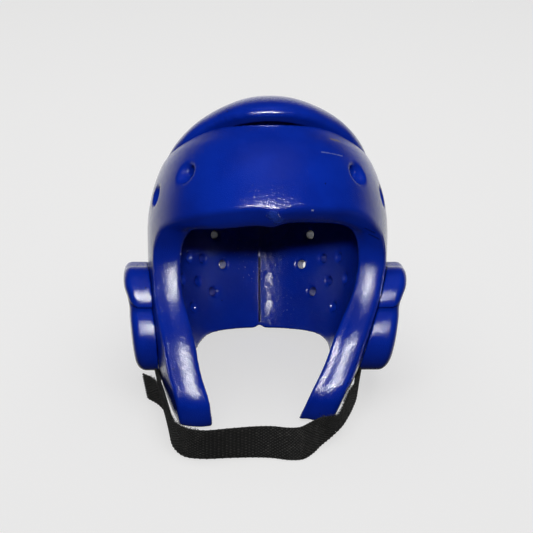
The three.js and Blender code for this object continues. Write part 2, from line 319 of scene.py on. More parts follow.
@dataclass(frozen=True)
class Lattice:
    """An even lattice of cells that a padded form is worked out on, in millimetres."""

    low: Spot
    high: Spot
    cell: float
    band: int = 4
    passes: int = 3
    flattest: float = 0.05

    @property
    def start(self) -> Array:
        """Whole-number place of the lowest cell."""
        return np.floor(np.array(self.low) / self.cell).astype(int)

    @property
    def shape(self) -> tuple[int, int, int]:
        """Number of cells each way."""
        end = np.ceil(np.array(self.high) / self.cell).astype(int)
        return tuple(int(n) for n in end - self.start + 1)

    def axes(self) -> tuple[Array, Array, Array]:
        """Positions along X, Y and Z, ready to broadcast against each other.

        Returns:
            Three arrays of millimetres.
        """
        runs = [(np.arange(n) + s) * self.cell for n, s in zip(self.shape, self.start)]
        return runs[0][:, None, None], runs[1][None, :, None], runs[2][None, None, :]

    def distances(self, skin: "Skin", reach: float) -> Array:
        """Signed distance from every cell to a closed skin.

        Args:
            skin: The skin to measure to.
            reach: How far from it the distances are true.

        Returns:
            Distances in millimetres, negative inside.
        """
        grid = openvdb.FloatGrid.createLevelSetFromPolygons(
            skin.points.astype(np.float32),
            triangles=skin.triangles.astype(np.uint32),
            quads=skin.quads.astype(np.uint32),
            transform=openvdb.createLinearTransform(voxelSize=self.cell),
            halfWidth=reach / self.cell,
        )
        values = np.zeros(self.shape, np.float32)
        grid.copyToArray(values, ijk=tuple(int(n) for n in self.start))
        return values

    def sample(self, values: Array, points: Array) -> Array:
        """Reads a field between its cells.

        Args:
            values: The field.
            points: Where to read it, one a row.

        Returns:
            One value for each point.
        """
        place = points / self.cell - self.start
        base = np.clip(np.floor(place).astype(int), 0, np.array(self.shape) - 2)
        part = place - base
        total = np.zeros(len(points))
        for corner in np.ndindex(2, 2, 2):
            weight = np.prod(np.where(np.array(corner) == 1, part, 1 - part), axis=1)
            i, j, k = (base + corner).T
            total += weight * values[i, j, k]
        return total

    def surface(self, values: Array) -> tuple[Array, Array]:
        """The skin where a field is zero, drawn onto it.

        Args:
            values: Signed distances, negative inside.

        Returns:
            Points in millimetres, and faces with four corners each.
        """
        limit = self.band * self.cell
        grid = openvdb.FloatGrid(limit)
        grid.transform = openvdb.createLinearTransform(voxelSize=self.cell)
        clipped = np.clip(values, -limit, limit).astype(np.float32)
        grid.copyFromArray(clipped, ijk=tuple(int(n) for n in self.start))
        points, faces = grid.convertToQuads(isovalue=0.0)
        points = points.astype(float)
        step = 0.5 * self.cell
        for _ in range(self.passes):
            value = self.sample(values, points)
            slope = np.column_stack(
                [
                    (self.sample(values, points + axis) - self.sample(values, points - axis)) / (2 * step)
                    for axis in np.eye(3) * step
                ]
            )
            points -= slope * (value / np.maximum((slope**2).sum(axis=1), self.flattest))[:, None]
        return points, faces.astype(int)


def ring_faces(count: int, sides: int) -> Array:
    """Faces between rings of points that follow each other.

    Args:
        count: Number of rings.
        sides: Points in each ring.

    Returns:
        Corner numbers, four a row.
    """
    side = np.arange(sides)
    following = (side + 1) % sides
    low = (np.arange(count - 1) * sides)[:, None]
    faces = [low + side, low + following, low + sides + following, low + sides + side]
    return np.stack(faces, axis=-1).reshape(-1, 4)


@dataclass
class Skin:
    """A closed skin of triangles and four-cornered faces."""

    points: Array
    triangles: Array
    quads: Array

    @classmethod
    def over_rings(cls, rings: Array) -> "Skin":
        """A skin over rings of points, closed at both ends.

        Args:
            rings: Points by ring and by side, in three coordinates.

        Returns:
            The skin.
        """
        count, sides, _ = rings.shape
        side = np.arange(sides)
        following = (side + 1) % sides
        top = (count - 1) * sides
        foot = np.column_stack([np.full(sides, count * sides), following, side])
        head = np.column_stack([np.full(sides, count * sides + 1), top + side, top + following])
        ends = [rings[0].mean(axis=0), rings[-1].mean(axis=0)]
        points = np.vstack([rings.reshape(-1, 3), ends])
        return cls(points, np.vstack([foot, head]), ring_faces(count, sides))


def put_in_scene(name: str, data: bpy.types.ID) -> bpy.types.Object:
    """A new object in the scene.

    Args:
        name: Name of the object.
        data: Its mesh, lamp or lens.

    Returns:
        The linked object.
    """
    thing = bpy.data.objects.new(name, data)
    bpy.context.scene.collection.objects.link(thing)
    return thing


def make_piece(name: str, points: Array, faces: Array) -> bpy.types.Object:
    """A smooth mesh object in the row's frame.

    Args:
        name: Name of the object.
        points: Points in metres, one a row.
        faces: Corner numbers of each face.

    Returns:
        The linked object.
    """
    mesh = bpy.data.meshes.new(name)
    a, b, c, d = (points[faces[:, k]] for k in range(4))
    volume = np.einsum("ij,ij->i", a, np.cross(b, c)).sum()
    volume += np.einsum("ij,ij->i", a, np.cross(c, d)).sum()
    if volume < 0:
        faces = faces[:, ::-1]
    mesh.from_pydata(points.tolist(), [], faces.tolist())
    mesh.shade_smooth()
    mesh.update()
    return put_in_scene(name, mesh)


# Pieces that node trees draw


class Graph:
    """Short ways to build a node tree."""

    def __init__(self, tree: bpy.types.NodeTree) -> None:
        """Starts on an emptied tree.

        Args:
            tree: The tree to fill.
        """
        self.tree = tree
        tree.nodes.clear()

    def add(self, kind: str, inputs: dict | None = None, **settings: object) -> bpy.types.Node:
        """Adds a node.

        Args:
            kind: Blender's name for the kind of node.
            inputs: Values or sockets for its inputs, by name or number.
            settings: Values for its own properties.

        Returns:
            The node.
        """
        node = self.tree.nodes.new(kind)
        for name, value in settings.items():
            setattr(node, name, value)
        for name, value in (inputs or {}).items():
            socket = node.inputs[name]
            if isinstance(value, bpy.types.NodeSocket):
                self.tree.links.new(value, socket)
            else:
                socket.default_value = value
        return node

    def maths(self, operation: str, *values: object) -> bpy.types.NodeSocket:
        """A sum, product or other plain step.

        Args:
            operation: Blender's name for it.
            values: Numbers or sockets.

        Returns:
            The result's socket.
        """
        node = self.add("ShaderNodeMath", dict(enumerate(values)), operation=operation)
        return node.outputs[0]

    def ramp(self, value: bpy.types.NodeSocket, low: float, high: float) -> bpy.types.NodeSocket:
        """A smooth climb from 0 to 1.

        Args:
            value: Where to read it.
            low: Value where it starts.
            high: Value where it ends.

        Returns:
            The share climbed.
        """
        node = self.add(
            "ShaderNodeMapRange",
            {"Value": value, "From Min": low, "From Max": high},
            interpolation_type="SMOOTHSTEP",
        )
        return node.outputs["Result"]

    def mix(self, share: object, first: object, second: object) -> bpy.types.NodeSocket:
        """A mix of two colours.

        Args:
            share: How much of the second.
            first: Colour or socket.
            second: Colour or socket.

        Returns:
            The mixed colour's socket.
        """
        node = self.add("ShaderNodeMix", {0: share, 6: first, 7: second}, data_type="RGBA")
        return node.outputs[2]

    def noise(
        self, vector: bpy.types.NodeSocket, scale: object, detail: float = 2.0
    ) -> bpy.types.NodeSocket:
        """An even noise.

        Args:
            vector: Where to read it.
            scale: How fine it is, a number or a socket.
            detail: How many finer layers it has.

        Returns:
            The noise, about 0 to 1.
        """
        node = self.add("ShaderNodeTexNoise", {"Vector": vector, "Scale": scale, "Detail": detail})
        return node.outputs["Fac"]


def make_guide(points: Array, faces: Array | None = None, **directions: Array) -> bpy.types.Object:
    """A bare mesh for a node tree to read.

    Args:
        points: Points in metres, one a row.
        faces: Corner numbers of each face, if it has any.
        directions: Named vectors, one for each point.

    Returns:
        The linked object.
    """
    mesh = bpy.data.meshes.new("guide")
    mesh.from_pydata(points.tolist(), [], [] if faces is None else faces.tolist())
    for name, vectors in directions.items():
        layer = mesh.attributes.new(name, "FLOAT_VECTOR", "POINT")
        layer.data.foreach_set("vector", vectors.astype(np.float32).reshape(-1))
    return put_in_scene("guide", mesh)


def make_path(runs: list[list[Vector]]) -> bpy.types.Object:
    """Open lines for a node tree to follow.

    Args:
        runs: The points of each line.

    Returns:
        The linked object.
    """
    edges = []
    count = 0
    for run in runs:
        edges += [(count + k, count + k + 1) for k in range(len(run) - 1)]
        count += len(run)
    mesh = bpy.data.meshes.new("guide")
    mesh.from_pydata([point for run in runs for point in run], edges, [])
    return put_in_scene("guide", mesh)


class NodeShape:
    """A Geometry Nodes tree that draws one piece on a guide."""

    def __init__(self, name: str, sizes: dict[str, float | int]) -> None:
        """Starts a tree with a named input for each size.

        Args:
            name: Name of the piece.
            sizes: The inputs and their values, whole numbers for counts and seeds.
        """
        self.name = name
        self.tree = bpy.data.node_groups.new(name, "GeometryNodeTree")
        self.tree.interface.new_socket("Piece", in_out="OUTPUT", socket_type="NodeSocketGeometry")
        self.tree.interface.new_socket("Guide", in_out="INPUT", socket_type="NodeSocketGeometry")
        self.values = {}
        for label, value in sizes.items():
            kind = "NodeSocketInt" if isinstance(value, int) else "NodeSocketFloat"
            socket = self.tree.interface.new_socket(label, in_out="INPUT", socket_type=kind)
            self.values[socket.identifier] = value
        self.graph = Graph(self.tree)
        self.inputs = self.graph.add("NodeGroupInput").outputs

    def named(self, label: str) -> bpy.types.NodeSocket:
        """The guide's own direction of that name."""
        kind = "GeometryNodeInputNamedAttribute"
        return self.graph.add(kind, {"Name": label}, data_type="FLOAT_VECTOR").outputs[0]

    def draw(
        self, shape: bpy.types.NodeSocket, guide: bpy.types.Object, material: bpy.types.Material
    ) -> bpy.types.Object:
        """Ends the tree and keeps what it draws as a plain mesh.

        Args:
            shape: The drawn geometry.
            guide: The mesh that the tree reads, removed afterwards.
            material: The piece's finish.

        Returns:
            The piece.
        """
        real = self.graph.add("GeometryNodeRealizeInstances", {0: shape})
        finish = {"Geometry": real.outputs[0], "Material": material}
        done = self.graph.add("GeometryNodeSetMaterial", finish)
        self.graph.add("NodeGroupOutput", {0: done.outputs[0]})
        modifier = guide.modifiers.new(self.name, "NODES")
        modifier.node_group = self.tree
        for identifier, value in self.values.items():
            modifier[identifier] = value
        drawn = guide.evaluated_get(bpy.context.evaluated_depsgraph_get())
        mesh = bpy.data.meshes.new_from_object(drawn)
        guide.modifiers.remove(modifier)
        bpy.data.objects.remove(guide)
        return put_in_scene(self.name, mesh)


def swept_ridge(
    name: str, guide: bpy.types.Object, material: bpy.types.Material, radius: float, wobble: float
) -> bpy.types.Object:
    """An uneven ridge swept along the lines of a guide.

    Args:
        name: Name of the piece.
        guide: The lines to follow.
        material: The skin's finish.
        radius: Radius of the ridge in millimetres.
        wobble: How much the radius varies in millimetres.

    Returns:
        The piece.
    """
    sizes = {"Radius": radius * MM, "Step": 1.0 * MM, "Wobble": wobble * MM, "Fineness": 160.0, "Sides": 6}
    shape = NodeShape(name, sizes)
    graph = shape.graph
    path = graph.add("GeometryNodeMeshToCurve", {"Mesh": shape.inputs["Guide"]})
    even = graph.add(
        "GeometryNodeResampleCurve",
        {"Curve": path.outputs[0], "Length": shape.inputs["Step"]},
        mode="LENGTH",
    )
    ring = graph.add(
        "GeometryNodeCurvePrimitiveCircle",
        {"Resolution": shape.inputs["Sides"], "Radius": shape.inputs["Radius"]},
    )
    tube = graph.add(
        "GeometryNodeCurveToMesh",
        {"Curve": even.outputs[0], "Profile Curve": ring.outputs[0], "Fill Caps": True},
    )
    where = graph.add("GeometryNodeInputPosition").outputs[0]
    swing = graph.maths("SUBTRACT", graph.noise(where, shape.inputs["Fineness"]), 0.5)
    push = graph.maths("MULTIPLY", swing, shape.inputs["Wobble"])
    normal = graph.add("GeometryNodeInputNormal").outputs[0]
    offset = graph.add("ShaderNodeVectorMath", {0: normal, "Scale": push}, operation="SCALE")
    move = {"Geometry": tube.outputs[0], "Offset": offset.outputs[0]}
    uneven = graph.add("GeometryNodeSetPosition", move)
    smooth = graph.add("GeometryNodeSetShadeSmooth", {"Geometry": uneven.outputs[0]})
    return shape.draw(smooth.outputs[0], guide, material)


def weave_floats(
    name: str, guide: bpy.types.Object, material: bpy.types.Material
) -> bpy.types.Object:
    """Yarn floats, one at each point of a guide.

    Args:
        name: Name of the piece.
        guide: Points with their ways along and outward.
        material: The yarn's finish.

    Returns:
        The piece.
    """
    sizes = {"Length": 1.25 * MM, "Width": 0.75 * MM, "Rise": 0.32 * MM}
    shape = NodeShape(name, sizes)
    graph = shape.graph
    align = "FunctionNodeAlignRotationToVector"
    upright = graph.add(align, {"Vector": shape.named("outward")}, axis="Z")
    laid = graph.add(
        align,
        {"Rotation": upright.outputs[0], "Vector": shape.named("along")},
        axis="X",
        pivot_axis="Z",
    )
    scale = graph.add("ShaderNodeCombineXYZ", {k: shape.inputs[label] for k, label in enumerate(sizes)})
    bead = graph.add("GeometryNodeMeshIcoSphere", {"Radius": 1.0, "Subdivisions": 1})
    smooth = graph.add("GeometryNodeSetShadeSmooth", {"Geometry": bead.outputs["Mesh"]})
    placed = graph.add(
        "GeometryNodeInstanceOnPoints",
        {
            "Points": shape.inputs["Guide"],
            "Instance": smooth.outputs[0],
            "Rotation": laid.outputs[0],
            "Scale": scale.outputs[0],
        },
    )
    return shape.draw(placed.outputs[0], guide, material)


def loop_pile(name: str, guide: bpy.types.Object, material: bpy.types.Material) -> bpy.types.Object:
    """Short bent fibres scattered over a guide's faces.

    Args:
        name: Name of the piece.
        guide: The faces that carry the pile.
        material: The yarn's finish.

    Returns:
        The piece.
    """
    sizes = {"Density": 1.1e6, "Length": 1.9 * MM, "Thickness": 0.09 * MM, "Seed": 7}
    shape = NodeShape(name, sizes)
    graph = shape.graph
    spread = graph.add(
        "GeometryNodeDistributePointsOnFaces",
        {"Mesh": shape.inputs["Guide"], "Density": shape.inputs["Density"], "Seed": shape.inputs["Seed"]},
    )
    bend = graph.add(
        "GeometryNodeCurveQuadraticBezier",
        {"Resolution": 4, "Start": (0.0, 0.0, -0.1), "Middle": (0.1, 0.0, 0.7), "End": (0.75, 0.0, 0.6)},
    )
    length = shape.inputs["Length"]
    size = graph.add("ShaderNodeCombineXYZ", {0: length, 1: length, 2: length})
    sized = graph.add("GeometryNodeTransform", {"Geometry": bend.outputs[0], "Scale": size.outputs[0]})
    ring = graph.add(
        "GeometryNodeCurvePrimitiveCircle", {"Resolution": 3, "Radius": shape.inputs["Thickness"]}
    )
    fibre = graph.add(
        "GeometryNodeCurveToMesh", {"Curve": sized.outputs[0], "Profile Curve": ring.outputs[0]}
    )
    spin = graph.add(
        "FunctionNodeRandomValue",
        {"Min": (-0.5, -0.5, 0.0), "Max": (0.5, 0.5, 2 * math.pi), "Seed": shape.inputs["Seed"]},
        data_type="FLOAT_VECTOR",
    )
    turn = graph.add("FunctionNodeEulerToRotation", {0: spin.outputs[0]})
    laid = graph.add(
        "FunctionNodeRotateRotation",
        {"Rotation": spread.outputs["Rotation"], "Rotate By": turn.outputs[0]},
        rotation_space="LOCAL",
    )
    placed = graph.add(
        "GeometryNodeInstanceOnPoints",
        {
            "Points": spread.outputs["Points"],
            "Instance": fibre.outputs[0],
            "Rotation": laid.outputs[0],
        },
    )
    return shape.draw(placed.outputs[0], guide, material)


# Foam forms


@dataclass(frozen=True)
class HeadForm:
    """The outside of the head that shell, crown and ear pads follow."""

    sections: tuple[Section, ...] = (
        Section(-14, 58, 116, 80),
        Section(2, 66, 116, 87),
        Section(18, 73, 116, 93),
        Section(38, 80.5, 116, 98.5),
        Section(60, 86.5, 113, 103.5),
        Section(80, 91, 108.5, 107),
        Section(102, 95, 107, 110),
        Section(140, 97, 113, 112),
        Section(162, 96.3, 112, 110.5),
        Section(182, 92.5, 107, 106),
        Section(200, 86, 98, 98),
        Section(210, 80, 90.5, 92),
        Section(218, 72.5, 83, 85),
        Section(232, 54, 64, 68),
        Section(246, 30, 38, 42),
    )
    roundness: float = 2.15
    sway: float = -11.3
    sway_top: float = 120.0
    sway_power: float = 1.1
    sway_behind: float = 70.0
    skirt: float = 60.0
    turn_step: float = 0.01
    height_step: float = 0.5
    skin_levels: int = 110
    skin_sides: int = 220

    def column(self, name: str, z: Array) -> Array:
        """A measure of the sections at any height.

        Args:
            name: Which measure.
            z: Heights.

        Returns:
            The measure at each height.
        """
        knots = np.array([section.z for section in self.sections])
        values = np.array([getattr(section, name) for section in self.sections])
        return curve_at(knots, values, z)

    def outside(self, turn: Array, z: Array) -> Array:
        """Points of the outside.

        Args:
            turn: Angle from the brow, a quarter turn at the left ear.
            z: Height.

        Returns:
            Points, with their three coordinates last.
        """
        turn, z = np.broadcast_arrays(np.asarray(turn, float), np.asarray(z, float))
        power = 2 / self.roundness
        cosine, sine = np.cos(turn), np.sin(turn)
        reach = np.where(cosine > 0, self.column("front", z), self.column("back", z))
        y = -reach * np.sign(cosine) * np.abs(cosine) ** power
        x = self.column("half", z) * np.sign(sine) * np.abs(sine) ** power
        down = np.maximum(0, (self.sway_top - z) / self.sway_top) ** self.sway_power
        x = x + self.sway * down * smoothstep(-y, -self.sway_behind, 0)
        return np.stack([x, y, z], axis=-1)

    def outwards(self, turn: float, z: float) -> Array:
        """The direction straight out of the outside at a point.

        Args:
            turn: Angle from the brow.
            z: Height.

        Returns:
            A unit vector.
        """
        along = self.outside(turn + self.turn_step, z) - self.outside(turn - self.turn_step, z)
        up = self.outside(turn, z + self.height_step) - self.outside(turn, z - self.height_step)
        square = np.cross(along, up)
        return square / np.linalg.norm(square)

    def skin(self) -> Skin:
        """The whole outside as a closed skin.

        Returns:
            The skin in the upright frame.
        """
        z = np.linspace(self.sections[0].z, self.sections[-1].z, self.skin_levels)
        turn = np.linspace(0, 2 * math.pi, self.skin_sides, endpoint=False)
        rings = self.outside(turn[None, :], z[:, None])
        foot = rings[:1] - np.array([0.0, 0.0, self.skirt])
        return Skin.over_rings(np.concatenate([foot, rings]))


@dataclass(frozen=True)
class Rim:
    """The line where the shell ends and the crown pad begins."""

    line: tuple[Pair, ...] = (
        (0, 230.0),
        (22, 229.7),
        (40, 228.4),
        (57, 224.0),
        (73, 213.5),
        (86, 204.0),
        (108, 196.0),
        (140, 190.0),
        (180, 188.0),
    )
    centre: float = 150.0
    samples: int = 721

    def height(self, turn: Array) -> Array:
        """Height of the rim.

        Args:
            turn: Angle from the brow.

        Returns:
            Heights.
        """
        knots, heights = np.array(self.line, float).T
        return curve_at(np.radians(knots), heights, np.abs(np.arctan2(np.sin(turn), np.cos(turn))))

    def above(self, form: HeadForm, lattice: Lattice) -> Array:
        """How far each cell lies above the rim, across lines to the head's centre.

        Args:
            form: The head form.
            lattice: Cells to measure.

        Returns:
            Distances, negative below the rim.
        """
        turn = np.linspace(-math.pi, math.pi, self.samples)
        edge = form.outside(turn, self.height(turn))
        way = np.arctan2(edge[:, 0], -edge[:, 1])
        climb = np.arctan2(edge[:, 2] - self.centre, np.hypot(edge[:, 0], edge[:, 1]))
        order = np.argsort(way)
        x, y, z = lattice.axes()
        flat = np.hypot(x, y)
        up = z - self.centre
        rim = np.interp(np.arctan2(x, -y), way[order], climb[order])
        return (np.arctan2(up, flat) - rim) * np.sqrt(flat**2 + up**2)


@dataclass
class FoamPiece:
    """A padded piece of dipped foam that stands for one CAD node."""

    name: str
    node: str
    fill: float = 0.9

    def dress(self, piece: bpy.types.Object, material: bpy.types.Material) -> bpy.types.Object:
        """Gives a foam piece its finish and its place in the frame.

        Args:
            piece: The built mesh.
            material: Its finish.

        Returns:
            The same piece.
        """
        piece.data.materials.append(material)
        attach(piece, "root")
        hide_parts(self.node)
        LOG.info("%s: %d faces", piece.name, len(piece.data.polygons))
        return piece


@dataclass
class Shell(FoamPiece):
    """Forehead band, temples, back and cheeks in one piece of foam.

    A pair named for a height or a depth says where a change starts and ends. Depths count from the
    middle towards the face, and those of the nape, the back and the notch towards the back.
    """

    form: HeadForm = HeadForm()
    rim: Rim = Rim()
    low: Spot = (-103, -120, -14)
    high: Spot = (103, 118, 240)
    cell: float = 1.7
    reach: float = 30.0
    wall: float = 21.0
    side_blend: Pair = (-12, 12)
    cheek_extra: float = 3.0
    cheek_height: Pair = (60, 110)
    cheek_depth: Pair = (-20, 20)
    brow_y: float = -111.0
    brow_z: float = 158.9
    brow_slope: float = -0.16
    brow_end: float = -79.0
    brow_height: Pair = (110, 140)
    brow_drop: float = 8.6
    drop_depth: Pair = (60, 92)
    brow_dip: float = 2.4
    dip_reach: float = 8.0
    dip_depth: Pair = (60, 90)
    brow_slant: float = 0.045
    tip_y: float = -45.0
    tip_z: float = 10.2
    tip_radius: float = 16.0
    tip_heel: float = math.radians(-58)
    tip_steps: int = 40
    edge_steps: int = 90
    chamfer: Pair = (-60.0, 14.0)
    chamfer_slope: float = math.radians(33)
    chamfer_radius: float = 7.0
    press: float = 10.0
    press_power: float = 1.5
    press_back: float = 40.0
    press_span: float = 80.0
    clear: float = 150.0
    nape_reach: float = 2.0
    nape_depth: Pair = (40, 84)
    chin_x: float = -9.0
    chin_top: float = 40.0
    chin_gap: float = 14.0
    cheek_edge_radius: float = 2.2
    brow_edge_radius: float = 3.2
    brow_edge_height: Pair = (120, 150)
    brow_edge_depth: Pair = (30, 70)
    rim_radius: float = 1.6
    floor_radius: float = 0.8
    face_bulge: float = 2.0
    bulge_depth: Pair = (-30, 10)
    bulge_shift: float = 0.15
    ridge_in: float = 1.0
    ridge_foot: float = 24.0
    ridge_top: float = 146.0
    rim_span: float = math.radians(100)
    rim_steps: int = 120
    parting_radius: float = 0.42
    parting_wobble: float = 0.1
    bead_levels: Spot = (72, 130, 2)
    bead_off: float = 0.1
    bead_radius: float = 1.0
    bead_wobble: float = 0.5
    vent_radius: float = 3.9
    vent_dish: float = 0.45
    vent_pull: float = 0.09
    vent_pull_facing: Pair = (0.45, 0.8)
    vent_edge: float = 1.3
    bore_reach: float = 1.3
    ear_hole_radius: float = 6.5
    ear_hole: Pair = (-2.0, 74.0)
    seam_x: float = -2.0
    seam_depth: float = 5.5
    seam_reach: float = 40.0
    back_depth: Pair = (20, 60)
    lumps: tuple[Pair, ...] = ((110, 5), (89, 8))
    lump_height: float = 1.3
    lump_across: Pair = (5, 3.5)
    ripple_waves: tuple[Pair, Pair] = ((0.4, 0.55), (0.7, -0.25))
    ripple_shift: float = 1.0
    ripple_height: float = 0.3
    ripple_across: Pair = (8, 7)
    notch: float = 2.5
    notch_reach: float = 3.0
    notch_depth: Pair = (50, 70)
    cheek_edge: tuple[Pair, ...] = (
        (-68.6, 151.5),
        (-58.5, 148),
        (-49, 141.5),
        (-42, 133.5),
        (-38.6, 124),
        (-38.4, 110),
        (-40.4, 94),
        (-45, 78.5),
        (-49.8, 66),
        (-52.7, 56),
        (-54.2, 44),
        (-55.8, 30),
        (-58.5, 19),
    )
    lower_edge: tuple[Pair, ...] = (
        (-20, 9),
        (5, 27),
        (35, 46),
        (62, 62.5),
        (84, 68.5),
        (100, 69.2),
    )
    vents: tuple[Vent, ...] = (
        Vent(47, 192, 9.4, 0.6),
        Vent(73, 176, 9, 0.3),
        Vent(90, 143, 8, 0),
        Vent(115, 108, 7, 0),
        Vent(124, 82, 7, 0),
        Vent(124, 127, 7, 0),
        Vent(133, 106, 7, 0),
        Vent(139, 126, 7, 0),
        Vent(147, 96, 7, 0),
        Vent(156, 121, 7, 0),
        Vent(150, 148, 7, 0),
    )

    def pressed(self, points: Array, side: Side) -> Array:
        """Points of an edge, moved along the floor where the left cheek is pressed back.

        Args:
            points: Edge points of y and z, one a row.
            side: Which cheek.

        Returns:
            The moved points.
        """
        if side is Side.RIGHT:
            return points
        y, z = points.T
        down = np.maximum(0, 1 - z / self.brow_z) ** self.press_power
        shift = self.press * down * np.clip((self.press_back - y) / self.press_span, 0, 1)
        return np.column_stack([y + shift * math.cos(STANCE.tilt), z + shift * math.sin(STANCE.tilt)])

    def brow_at(self, y: float) -> float:
        """Height of the brow's lower edge at a depth."""
        return self.brow_z + self.brow_slope * (y - self.brow_y)

    def tip(self, side: Side) -> Array:
        """Middle of a cheek tip's round end, as y and z."""
        return self.pressed(np.array([[self.tip_y, self.tip_z]]), side)[0]

    def face_edge(self, side: Side) -> Array:
        """The front edge of a cheek, from its tip up to the brow.

        Args:
            side: Which cheek.

        Returns:
            Points of y and z, one a row.
        """
        tip = self.tip(side)
        edge = self.pressed(np.array(self.cheek_edge), side)[::-1]
        foot = [[tip[0] - self.tip_radius, tip[1]]]
        stops = np.vstack([foot, edge, [[self.brow_end, self.brow_at(self.brow_end)]]])
        return thread(stops, np.linspace(0, 1, self.edge_steps))

    def face_outline(self, side: Side) -> Array:
        """The face opening seen from the side.

        Args:
            side: Which cheek.

        Returns:
            Corners of y and z.
        """
        edge = self.face_edge(side)
        far = -self.clear
        return np.vstack([[[far, self.brow_at(far)], [far, far], [edge[0, 0], far]], edge])

    def under_outline(self, side: Side) -> Array:
        """The space under the lower edge seen from the side.

        Args:
            side: Which cheek.

        Returns:
            Corners of y and z.
        """
        tip = self.tip(side)
        edge = np.array(self.lower_edge, float)
        edge[:, 1] -= self.nape_reach * smoothstep(edge[:, 0], *self.nape_depth)
        edge = self.pressed(edge, side)[::-1]
        swing = np.linspace(self.tip_heel, -math.pi, self.tip_steps)
        arc = tip + self.tip_radius * np.column_stack([np.cos(swing), np.sin(swing)])
        line = thread(np.vstack([edge, arc[:1]]), np.linspace(0, 1, self.edge_steps))
        far = self.clear
        corners = [[-far, tip[1]], [-far, -far], [far, -far], [far, edge[0, 1]]]
        return np.vstack([corners, line, arc[1:]])

    def profile(self, lattice: Lattice, outside: Array) -> Array:
        """Signed distance to what the side view keeps, on both sides of the head.

        Args:
            lattice: Cells to measure.
            outside: Signed distance of each cell to the head form.

        Returns:
            Distances, negative inside.
        """
        x, y, z = lattice.axes()
        flat_y, flat_z = np.broadcast_arrays(y[0], z[0])
        share = smoothstep(x, *self.side_blend)
        face, under = (
            -outline_distance(flat_y, flat_z, outline(Side.RIGHT))[None] * (1 - share)
            - outline_distance(flat_y, flat_z, outline(Side.LEFT))[None] * share
            for outline in (self.face_outline, self.under_outline)
        )
        depth = np.clip(-outside / self.wall, 0, 1) - 0.5
        drop = self.brow_drop * smoothstep(-y, *self.drop_depth) * depth * smoothstep(z, *self.brow_height)
        beside = self.chin_gap - np.abs(x - self.chin_x)
        chin = np.where((y < 0) & (z < self.chin_top), beside, -self.clear)
        kept = np.maximum(np.maximum(face - drop, under), chin)
        right, left = (self.pressed(np.array([self.chamfer]), side)[0] for side in (Side.RIGHT, Side.LEFT))
        corner = right + (left - right) * share[..., None]
        under_tip = (corner[..., 0] - y) * math.cos(self.chamfer_slope)
        under_tip = under_tip + (corner[..., 1] - z) * math.sin(self.chamfer_slope)
        return round_meet(kept, under_tip, self.chamfer_radius)

    def drill(
        self,
        solid: Array,
        lattice: Lattice,
        foot: Array,
        axis: Array,
        radius: float,
        dish: tuple[Array, float] | None = None,
    ) -> None:
        """Drills one round hole with rounded mouths into a field, in place.

        Args:
            solid: Signed distances to drill into.
            lattice: The field's cells.
            foot: A point on the hole's axis, in the middle of the wall.
            axis: The hole's direction, out of the wall.
            radius: The hole's radius.
            dish: Centre and radius of the round hollow at its outer mouth, if it has one.
        """
        room = 2 * self.wall
        low = np.floor((foot - room) / lattice.cell).astype(int) - lattice.start
        high = np.ceil((foot + room) / lattice.cell).astype(int) - lattice.start
        block = tuple(slice(max(0, a), max(0, b)) for a, b in zip(low, high))
        x, y, z = lattice.axes()
        parts = [x[block[0]], y[:, block[1]], z[:, :, block[2]]]
        along = sum((part - start) * way for part, start, way in zip(parts, foot, axis))
        away = sum((part - start) ** 2 for part, start in zip(parts, foot))
        across = np.sqrt(np.maximum(away - along**2, 0))
        hole = np.where(np.abs(along) < self.bore_reach * self.wall, radius - across, -self.wall)
        if dish:
            centre, reach = dish
            hole = np.maximum(hole, reach - np.sqrt(sum((part - c) ** 2 for part, c in zip(parts, centre))))
        solid[block] = round_meet(solid[block], hole, self.vent_edge)

    def thickness(self, x: Array, y: Array, z: Array) -> Array:
        """Thickness of the wall: more at the cheeks, less along the glued seam down the back.

        Args:
            x: Positions across.
            y: Positions from front to back.
            z: Heights.

        Returns:
            Thicknesses in millimetres.
        """
        cheek = (1 - smoothstep(z, *self.cheek_height)) * smoothstep(-y, *self.cheek_depth)
        off = x - self.seam_x
        valley = np.maximum(0, 1 - np.abs(off) / self.seam_reach) ** 2
        lumps = sum(hump(z, *lump) for lump in self.lumps) * hump(off, *self.lump_across)
        (rise_x, rise_z), (fall_x, fall_z) = self.ripple_waves
        ripples = np.sin(rise_z * z + rise_x * x) * np.sin(fall_x * x + fall_z * z + self.ripple_shift)
        ripples = ripples * hump(off, *self.ripple_across)
        back = self.lump_height * lumps + self.ripple_height * ripples - self.seam_depth * valley
        return self.wall + self.cheek_extra * cheek + back * smoothstep(y, *self.back_depth)

    def drill_side(self, solid: Array, lattice: Lattice, side: Side) -> None:
        """Drills the vents and the ear hole of one side into a field, in place.

        Args:
            solid: Signed distances to drill into.
            lattice: The field's cells.
            side: Which side of the head.
        """
        for vent in self.vents:
            turn = side.value * math.radians(vent.turn)
            normal = self.form.outwards(turn, vent.z)
            pull = smoothstep(normal[1], *self.vent_pull_facing) * self.vent_pull
            axis = normal * np.array([1 - pull, 1, 1 - pull]) - np.array([0, 0, vent.droop])
            axis /= np.linalg.norm(axis)
            mouth = self.form.outside(turn, vent.z)
            rise = self.vent_dish * vent.mouth
            dish = (mouth + normal * rise, math.hypot(rise, vent.mouth))
            self.drill(solid, lattice, mouth - axis * self.wall / 2, axis, self.vent_radius, dish)
        ear = self.form.outside(side.value * math.pi / 2, self.ear_hole[1])
        ear[1] = self.ear_hole[0]
        ear[0] -= side.value * self.wall / 2
        self.drill(solid, lattice, ear, np.array([1.0, 0.0, 0.0]), self.ear_hole_radius)

